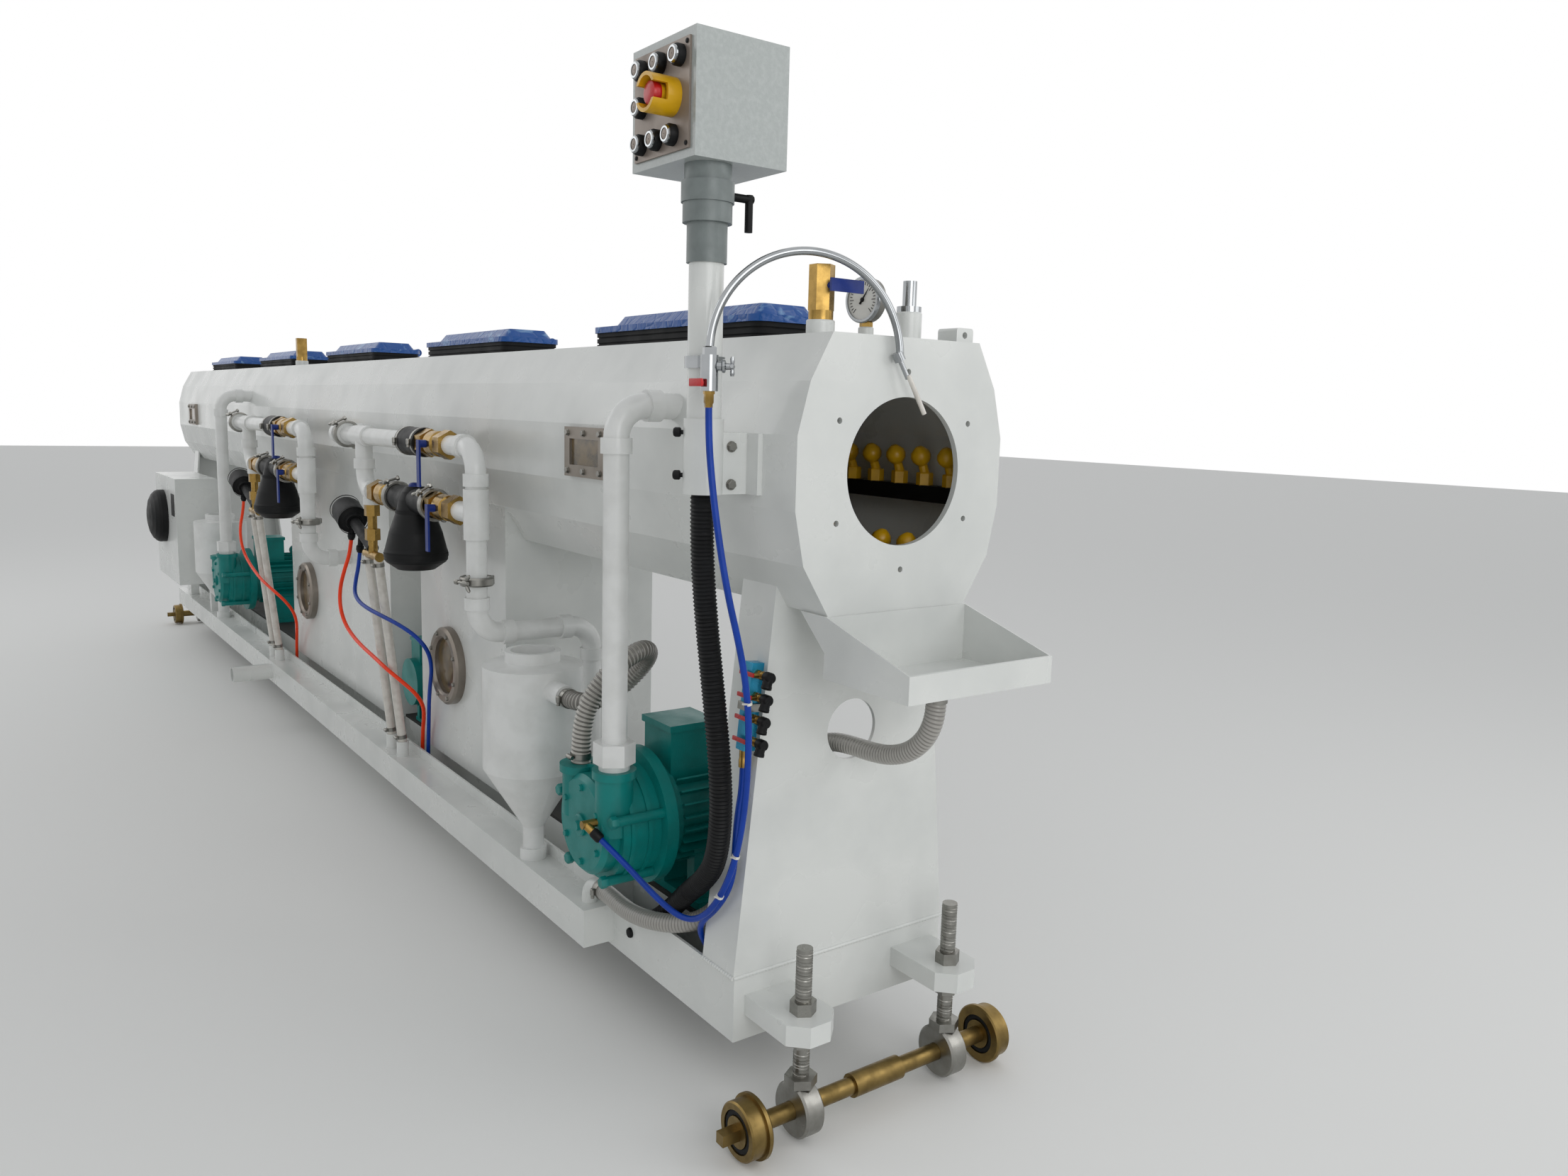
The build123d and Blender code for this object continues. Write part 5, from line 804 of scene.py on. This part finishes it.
# A station's wing clamps: distance behind its foot, height, direction, diameter, nut's side.
WING_CLAMPS = ((1068, TOP_PIPE, AHEAD, 74, (0, -0.5, 1)),
               (0, 913, UP, 74, (0.3, -1, 0)),
               (290, LOW_PIPE, AHEAD, 78, (0, -0.6, 1)),
               (590, LOW_PIPE, AHEAD, 78, (0, -0.3, 1)))
# Bands on the free hoses: middle, direction and diameter.
HOSE_BANDS = (((-563.5, -360, 622), UP, 42), ((-745, -299.5, 695), AHEAD, 42),
              ((90, 20, 838), UP, 38), ((-580, -299.5, 305), AHEAD, 38))
# Bands on the drop hoses, which lean, and on the sleeves behind a station's foot.
SPIGOTS = (-1910, -2010, -3486, -3586)
DROP_BANDS = ((-301.3, 320), (-357.5, 856))
DROP_WAY = (0, 60.5, -577)
SLEEVE_BANDS = (475, 360)


def make_clamps(made):
    """Wing-nut clamps on the stations' joints, and worm-drive bands on the hoses."""
    bm = bmesh.new()
    for x in STATIONS:
        for back, z, way, diameter, side in WING_CLAMPS:
            wing_clamp(bm, (x - back, PIPE_Y, z), way, diameter, side)
    piece_of("wing_clamps", bm, made, "steel")
    bm = bmesh.new()
    for middle, way, diameter in HOSE_BANDS:
        hose_clamp(bm, middle, way, diameter)
    for x in SPIGOTS:
        for y, z in DROP_BANDS:
            hose_clamp(bm, (x, y, z), DROP_WAY, 27)
    for x in STATIONS:
        for back in SLEEVE_BANDS:
            hose_clamp(bm, (x - back, PIPE_Y, TOP_PIPE), AHEAD, 76)
    piece_of("hose_clamps", bm, made, "steel")


# Control panel: its middle, the field its buttons are spread over, their places as shares of
# it, and the screws' places off the middle.
PANEL_MIDDLE = (-207.5, -392, 1845)
FIELD_WIDTH, FIELD_HEIGHT = 207, 200
BUTTONS = ((-0.3, 0.3), (0, 0.3), (0.3, 0.3), (-0.3, 0), (-0.3, -0.3), (-0.05, -0.3),
           (0.2, -0.3))
STOP_ACROSS = 0.18
SCREWS_ACROSS, SCREWS_RISE = 82, 78
# A button's parts: name, finish, slot, how far out each starts, and its outline.
BUTTON_PARTS = (
    ("button_collars", "black_plastic", "black_plastic", 0,
     [(0, 26), (0, 35), (10, 35), (13, 31), (13, 26)]),
    ("button_rims", "chrome", "chrome", 13, [(0, 19), (0, 29), (3, 29), (5, 25), (5, 19)]),
    ("button_caps", "brushed", "steel", 14,
     [(0, 2), (0, 19.5), (2.5, 19.5), (3.5, 14), (3.5, 2)]))


def make_console(made):
    """Buttons, stop button and screws of the control box's panel."""
    x, y, z = PANEL_MIDDLE
    for name, kind, slot, reach, outline in BUTTON_PARTS:
        bm = bmesh.new()
        for across, rise in BUTTONS:
            spot = (x + across * FIELD_WIDTH, y - reach, z + rise * FIELD_HEIGHT)
            turn(bm, spot, OUT, outline, 28, True)
        piece_of(name, bm, made, kind, body="console")
    bm = bmesh.new()
    turn(bm, (x + STOP_ACROSS * FIELD_WIDTH, y - 30, z), OUT,
         [(0, 37), (9, 40), (14, 36), (16, 24), (16.5, 8)], 32)
    piece_of("stop_button", bm, made, "red_plastic", body="console")
    bm = bmesh.new()
    for across in (-SCREWS_ACROSS, SCREWS_ACROSS):
        for rise in (-SCREWS_RISE, SCREWS_RISE):
            turn(bm, (x + across, y, z + rise), OUT, [(-1, 8), (1.5, 8), (2.5, 5)], 12)
    piece_of("panel_screws", bm, made, "black_plastic", body="console")


# Gauge: its foot on the roof, the way it faces, its middle's height, and its scale.
GAUGE_FOOT = (-80, -36, ROOF)
GAUGE_FACE = (0.12, -0.99, 0)
GAUGE_RISE = 66
GAUGE_STEPS = 24
GAUGE_SWEEP = 270
SCALE_RADIUS = 31
# The other fittings' sockets: place along and across, height and diameter.
ROOF_SOCKETS = ((-80, -140, 24, 51), (-3735, -111, 24, 51), (-80, 66, 52, 49))


def make_roof_fittings(made):
    """Gauge that faces the operator on its welded socket, and the other fittings' sockets."""
    stem = Vector(GAUGE_FOOT)
    face = Vector(GAUGE_FACE).normalized()
    across = face.cross(Vector(UP))
    middle = stem + Vector((0, 0, GAUGE_RISE))
    bm = bmesh.new()
    turn(bm, middle - face * 13, face, [(0, 66), (4, 78), (22, 78), (23, 74)], 40)
    case = piece_of("gauge_case", bm, made, "steel")
    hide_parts("vacuum_gauge")
    bm = bmesh.new()
    turn(bm, middle + face * 8, face, [(0, 70), (0, 82), (5, 82), (7, 78), (7, 70)], 40, True)
    piece_of("gauge_rim", bm, made, "chrome")
    bm = bmesh.new()
    turn(bm, middle + face * 9.5, face, [(0, 71), (2, 71)], 40)
    piece_of("gauge_dial", bm, made, "dial")
    bm = bmesh.new()
    front = middle + face * 11.5
    for i in range(GAUGE_STEPS + 1):
        angle = radians(-GAUGE_SWEEP / 2 + GAUGE_SWEEP * i / GAUGE_STEPS)
        way = across * sin(angle) + Vector(UP) * cos(angle)
        long = 9 if i % 4 == 0 else 5
        turn(bm, front + way * (SCALE_RADIUS - long), way, [(0, 1.6), (long, 1.6)], 4)
    needle = across * -0.6 + Vector(UP) * 0.8
    turn(bm, front - needle * 9 + face * 1.5, needle, [(0, 4), (12, 3), (34, 0.8)], 6)
    turn(bm, front, face, [(0, 8), (2.5, 8), (3, 5)], 12)
    piece_of("gauge_marks", bm, made, "black_plastic")
    bm = bmesh.new()
    turn(bm, stem + Vector((0, 0, 17)), UP, [(0, 24), (10, 24), (12, 18), (14, 18)], HEXAGON)
    piece_of("gauge_union", bm, made, "brass")
    bm = bmesh.new()
    turn(bm, stem, UP, [(-1, 28), (17, 28), (19, 24)], 24)
    for x, y, tall, wide in ROOF_SOCKETS:
        bore = wide - 8
        socket = [(-1, bore), (-1, wide), (tall - 2, wide), (tall, wide - 3), (tall, bore)]
        turn(bm, (x, y, ROOF), UP, socket, 32, True)
    piece_of("roof_sockets", bm, made, "white_paint")


# Knobs on the bracket's tube: its axis, their heights, the way they point and their reach.
POST_X, POST_Y = -155, -330
KNOB_HEIGHTS = (1301, 1227)
KNOB_WAY = (-0.6, -0.8, 0)
KNOB_REACH = 34
# Pneumatic heads: their root behind a station's foot, its height and their lean.
HEAD_BACK = 830
HEAD_HEIGHT = 900
HEAD_LEAN = radians(19)
HEAD_RINGS = (204, 296)
FRONT_FITTINGS, REAR_FITTINGS = (214, 120), (214,)
# Spout: the axis of its upright pipe, the way its tap points, and the tap's height.
SPOUT_X, SPOUT_Y = -85, -365
TAP_WAY = (0.6, 0.8, 0)
TAP_HEIGHT = 1412
# Filters: distance behind a station's foot, cap, top and height, and each ring's place down
# the height with its diameter.
FILTER_BACK = 440
FILTER_CAP = 1111
FILTER_TOP = LOW_PIPE + 38
FILTER_TALL = 225
FILTER_RINGS = ((0.82, 168), (0.3, 103))
# Ties on the spout's hose: place and the hose's direction there.
TIES = (((-50.5, -294.6, 838), (-6, 14, -75)), ((-93, -283.5, 543), (-22, -6, -70)),
        ((-131, -291.3, 455), (-40, -6, -66)))


def make_knobs_and_unions(made):
    """Knobs on the bracket's tube, rings and fittings on the pneumatic heads, hose unions."""
    bm = bmesh.new()
    for z in KNOB_HEIGHTS:
        start = Vector((POST_X, POST_Y, z)) + Vector(KNOB_WAY) * KNOB_REACH
        turn(bm, start, KNOB_WAY,
             [(0, 8), (5, 8), (5, 13), (7, 17), (15, 17), (18, 13), (19, 5)], 20)
    way = Vector((-cos(HEAD_LEAN), 0, sin(HEAD_LEAN)))
    down = Vector((-sin(HEAD_LEAN), 0, -cos(HEAD_LEAN)))
    for x, fittings in zip(STATIONS, (FRONT_FITTINGS, REAR_FITTINGS)):
        root = Vector((x - HEAD_BACK, PIPE_Y, HEAD_HEIGHT))
        for along in fittings:
            turn(bm, root + way * along + down * 48, down,
                 [(0, 22), (3, 24), (13, 24), (16, 20), (20, 19)], 12)
        for along in HEAD_RINGS:
            turn(bm, root + way * along, way, [(0, 92), (0, 95), (4, 95), (4, 92)], 32, True)
    piece_of("knobs_and_fittings", bm, made, "black_plastic")

    bm = bmesh.new()
    turn(bm, (SPOUT_X, SPOUT_Y, 1374), (0, 0, -1),
         [(0, 20), (8, 20), (8, 17), (22, 17), (24, 14), (30, 14)], HEXAGON)
    for route in ("block_hose", "front_air_hose", "rear_air_hose", "front_signal_hose"):
        x, y, z = ROUTES[route][-1]
        turn(bm, (x, y, z - 2), UP, [(0, 26), (12, 26), (15, 20), (18, 16)], HEXAGON)
    piece_of("hose_unions", bm, made, "brass")


def make_spout(made):
    """Tap with a cross handle, valve with a red lever, and the clear tip of the spout."""
    tap = Vector((SPOUT_X, SPOUT_Y, TAP_HEIGHT))
    out = Vector(TAP_WAY)
    bm = bmesh.new()
    turn(bm, tap, out, [(8, 16), (20, 16), (22, 22), (26, 22), (28, 12), (40, 10)], 16)
    hub = tap + out * 38
    for angle in (0, 90):
        way = Matrix.Rotation(radians(angle), 3, out) @ Vector((-0.8, 0.6, 0))
        turn(bm, hub - way * 16, way,
             [(0, 6), (4, 8), (12, 6), (20, 6), (28, 8), (32, 6)], 10)
    turn(bm, (SPOUT_X, SPOUT_Y, 1436), UP, [(-10, 20), (-8, 24), (6, 24), (8, 19)], HEXAGON)
    piece_of("spout_tap", bm, made, "chrome")
    bm = bmesh.new()
    turn(bm, (SPOUT_X, -381, 1384), OUT, [(-4, 12), (8, 12), (10, 9)], 12)
    plate(bm, (-104, -393, 1378), (-66, -388, 1391), 2)
    piece_of("red_valve_lever", bm, made, "red_plastic")
    bm = bmesh.new()
    turn(bm, (25, -23, 1410), (4, 35, -62), [(0, 7), (4, 9), (76, 9), (76, 6)], 16)
    piece_of("spout_tip", bm, made, "clear_hose")


def make_filters_and_ties(made):
    """Elbow at the pump, the cabinet's display, caps and rings on the filters, and ties."""
    bm = bmesh.new()
    turn(bm, (-392, -401, 501), (-44, -31, 41.5), [(0, 17), (3, 21), (20, 21), (24, 17)], 16)
    plate(bm, (-4960, -463, 740), (-4880, -459, 850), 1.5)
    piece_of("elbow_and_display", bm, made, "black_plastic")

    bm = bmesh.new()
    for x in STATIONS:
        turn(bm, (x - FILTER_BACK, PIPE_Y, FILTER_CAP), UP,
             [(0, 34), (6, 34), (9, 30), (12, 22), (13, 10)], 24)
    piece_of("filter_caps", bm, made, "blue_plastic")
    bm = bmesh.new()
    for x in STATIONS:
        for drop, wide in FILTER_RINGS:
            spot = (x - FILTER_BACK, PIPE_Y, FILTER_TOP - drop * FILTER_TALL)
            ring = [(-5, wide - 4), (-5, wide + 3), (5, wide + 3), (5, wide - 4)]
            turn(bm, spot, UP, ring, 40, True)
    piece_of("filter_rings", bm, made, "black_plastic")

    bm = bmesh.new()
    for spot, way in TIES:
        axis = Vector(way).normalized()
        turn(bm, Vector(spot) - axis * 2.5, axis, [(0, 12), (0, 15), (5, 15), (5, 12)], 20, True)
        turn(bm, Vector(spot) + Vector((0, -9, 0)), (1, 0, 0.2), [(-3, 4), (6, 4), (16, 2.5)], 6)
    piece_of("hose_ties", bm, made, "natural_nylon")


# Manifold: its back's top edge, the pedestal's lean in degrees, and the block's sizes.
BLOCK_TOP = (0, -204.22, 885)
BLOCK_LEAN = -5.818
BLOCK_X = -144
BLOCK_HALF = 13
BLOCK_DEEP = 26
BLOCK_TALL = 165
BLOCK_VALVES = 4


def make_valve_block(made):
    """Manifold on the pedestal: anodised block, brass valves, red levers and black elbows."""
    lean = Matrix.Translation(BLOCK_TOP) @ Matrix.Rotation(radians(BLOCK_LEAN), 4, "X")
    bm = bmesh.new()
    plate(bm, (BLOCK_X - BLOCK_HALF, -BLOCK_DEEP, -BLOCK_TALL), (BLOCK_X + BLOCK_HALF, 0, 0), 1.5)
    body = piece_of("manifold_block", bm, made, "anodised", place=lean)
    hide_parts("valve_block")
    brass, levers, elbows, clip = bmesh.new(), bmesh.new(), bmesh.new(), bmesh.new()
    y = -BLOCK_DEEP / 2
    for i in range(BLOCK_VALVES):
        z = -BLOCK_TALL * (i + 0.5) / BLOCK_VALVES
        turn(brass, (BLOCK_X + 12, y, z), AHEAD, [(0, 18), (8, 18), (8, 14), (11, 14)], HEXAGON)
        turn(brass, (BLOCK_X + 23, y, z), AHEAD,
             [(0, 13), (3, 17), (9, 17), (12, 13), (16, 13)], 16)
        turn(brass, (BLOCK_X + 26, y, z), OUT, [(0, 12), (12, 10), (20, 8)], 10)
        plate(levers, (BLOCK_X - 12, -37, z - 3), (BLOCK_X + 31, -33, z + 5), 1.4)
        elbow = Vector((BLOCK_X + 38, y, z))
        turn(elbows, elbow, AHEAD, [(0, 18), (4, 21), (17, 21), (20, 18)], 18)
        turn(elbows, elbow + Vector((11, 0, 0)), (0.2, -0.35, -1),
             [(0, 18), (14, 18), (16, 20), (21, 20), (22, 14)], 18)
    plate(clip, (BLOCK_X - 16, -30, -90), (BLOCK_X + 20, 2, -75), 1.5)
    for name, bm, kind, slot in (("manifold_valves", brass, "brass", "brass"),
                                 ("manifold_levers", levers, "red_plastic", "orange_plastic"),
                                 ("manifold_elbows", elbows, "black_plastic", "black_plastic"),
                                 ("manifold_clip", clip, "steel", "steel")):
        piece_of(name, bm, made, kind, place=lean)
    bm = bmesh.new()
    turn(bm, ROUTES["block_hose"][0], UP, [(-10, 17), (4, 17), (6, 15), (12, 15), (40, 14)], 16)
    piece_of("manifold_nipple", bm, made, "brass")


# Motors: the fan cover's place along and across, and its size beside the pumps' own.
MOTORS = ((-490, 81, 1.0), (-2100, 25.6, 0.72), (-4240, 81, 1.0))
GRILLE_RINGS = (60, 100, 140, 175)
# Wheels: their axis's height, and each one's faces with the way they look.
AXLE_HEIGHT = 60
WHEEL_FACES = ((283, -1), (325, 1))
SEAL_INSET = 5
# Weld beads round a pedestal's foot: the end face and the back, half the width, the height.
PEDESTALS = ((-120, -228), (-5880, -5772))
FOOT_HALF = 265
FOOT_HEIGHT = 289
BEAD_STEPS = 200


def make_underside(made):
    """Fan grilles on the motors, seals in the wheels, weld beads and a plug in the base."""
    bm = bmesh.new()
    for x, y, scale in MOTORS:
        for wide in GRILLE_RINGS:
            outer, inner = wide * scale, wide * scale - 9
            ring = [(-1, inner), (-1, outer), (3, outer), (3, inner)]
            turn(bm, (x, y, SHAFT_HEIGHT), (0, 1, 0), ring, 32, True)
        for i in range(8):
            way = Vector((cos(pi * i / 4), 0, sin(pi * i / 4)))
            start = Vector((x, y + 1.5, SHAFT_HEIGHT)) + way * 20 * scale
            turn(bm, start, way, [(0, 5), (66 * scale, 5)], 6)
    piece_of("fan_grilles", bm, made, "black_plastic")
    for body, x in AXLES.items():
        bm = bmesh.new()
        for side in (-1, 1):
            for face, way in WHEEL_FACES:
                start = (x, side * (face - way * SEAL_INSET), AXLE_HEIGHT)
                turn(bm, start, (0, side * way, 0),
                     [(0, 58), (0, 80), (2.5, 78), (3.5, 69), (2.5, 60)], 32, True)
        piece_of(body + "_seals", bm, made, "black_rubber", body=body)
    bm = bmesh.new()
    for x, back in PEDESTALS:
        near, far = Vector((x, -FOOT_HALF, FOOT_HEIGHT)), Vector((x, FOOT_HALF, FOOT_HEIGHT))
        for start, end in ((near, far), (near, Vector((back, -FOOT_HALF, FOOT_HEIGHT))),
                           (far, Vector((back, FOOT_HALF, FOOT_HEIGHT)))):
            spots = [start.lerp(end, i / BEAD_STEPS) for i in range(BEAD_STEPS + 1)]
            ribbed_tube(bm, spots, radius=4.5, pitch=7.5, depth=0.9, lead=0, sides=10)
    piece_of("weld_beads", bm, made, "white_paint")
    bm = bmesh.new()
    turn(bm, (-520, -262.5, 222), OUT, [(-3, 22), (3, 22), (6, 19), (7, 8)], 20)
    piece_of("base_plug", bm, made, "black_rubber")


scene.view_settings.view_transform = "Standard"
set_camera()
set_stage()
finishes = make_materials()
lay_hoses(finishes)
for part in frame["record"]["subparts"]:
    dress(finishes[part["material_slot"]], part["node"])
# The pump bays' floor plates get a dark finish instead of their white paint.
dress(finishes["dark_bay_floor"], "bay_plates")
dress(finishes["white_paint"], "base_trough", "rear_cabinet")
dress(finishes["frame_steel"], "sight_frames")
# The swivel collar's darker grey is painted shade from the control box above it.
dress(finishes["collar_grey"], "swivel_collar")
dress(finishes["brushed"], "control_panel")
dress(finishes["zinc"], "front_axle", "rear_axle")
small_rows = row_tree()
make_fasteners(finishes, small_rows)
make_nozzles(finishes, small_rows)
make_clamps(finishes)
make_console(finishes)
make_roof_fittings(finishes)
make_knobs_and_unions(finishes)
make_spout(finishes)
make_filters_and_ties(finishes)
make_valve_block(finishes)
make_underside(finishes)
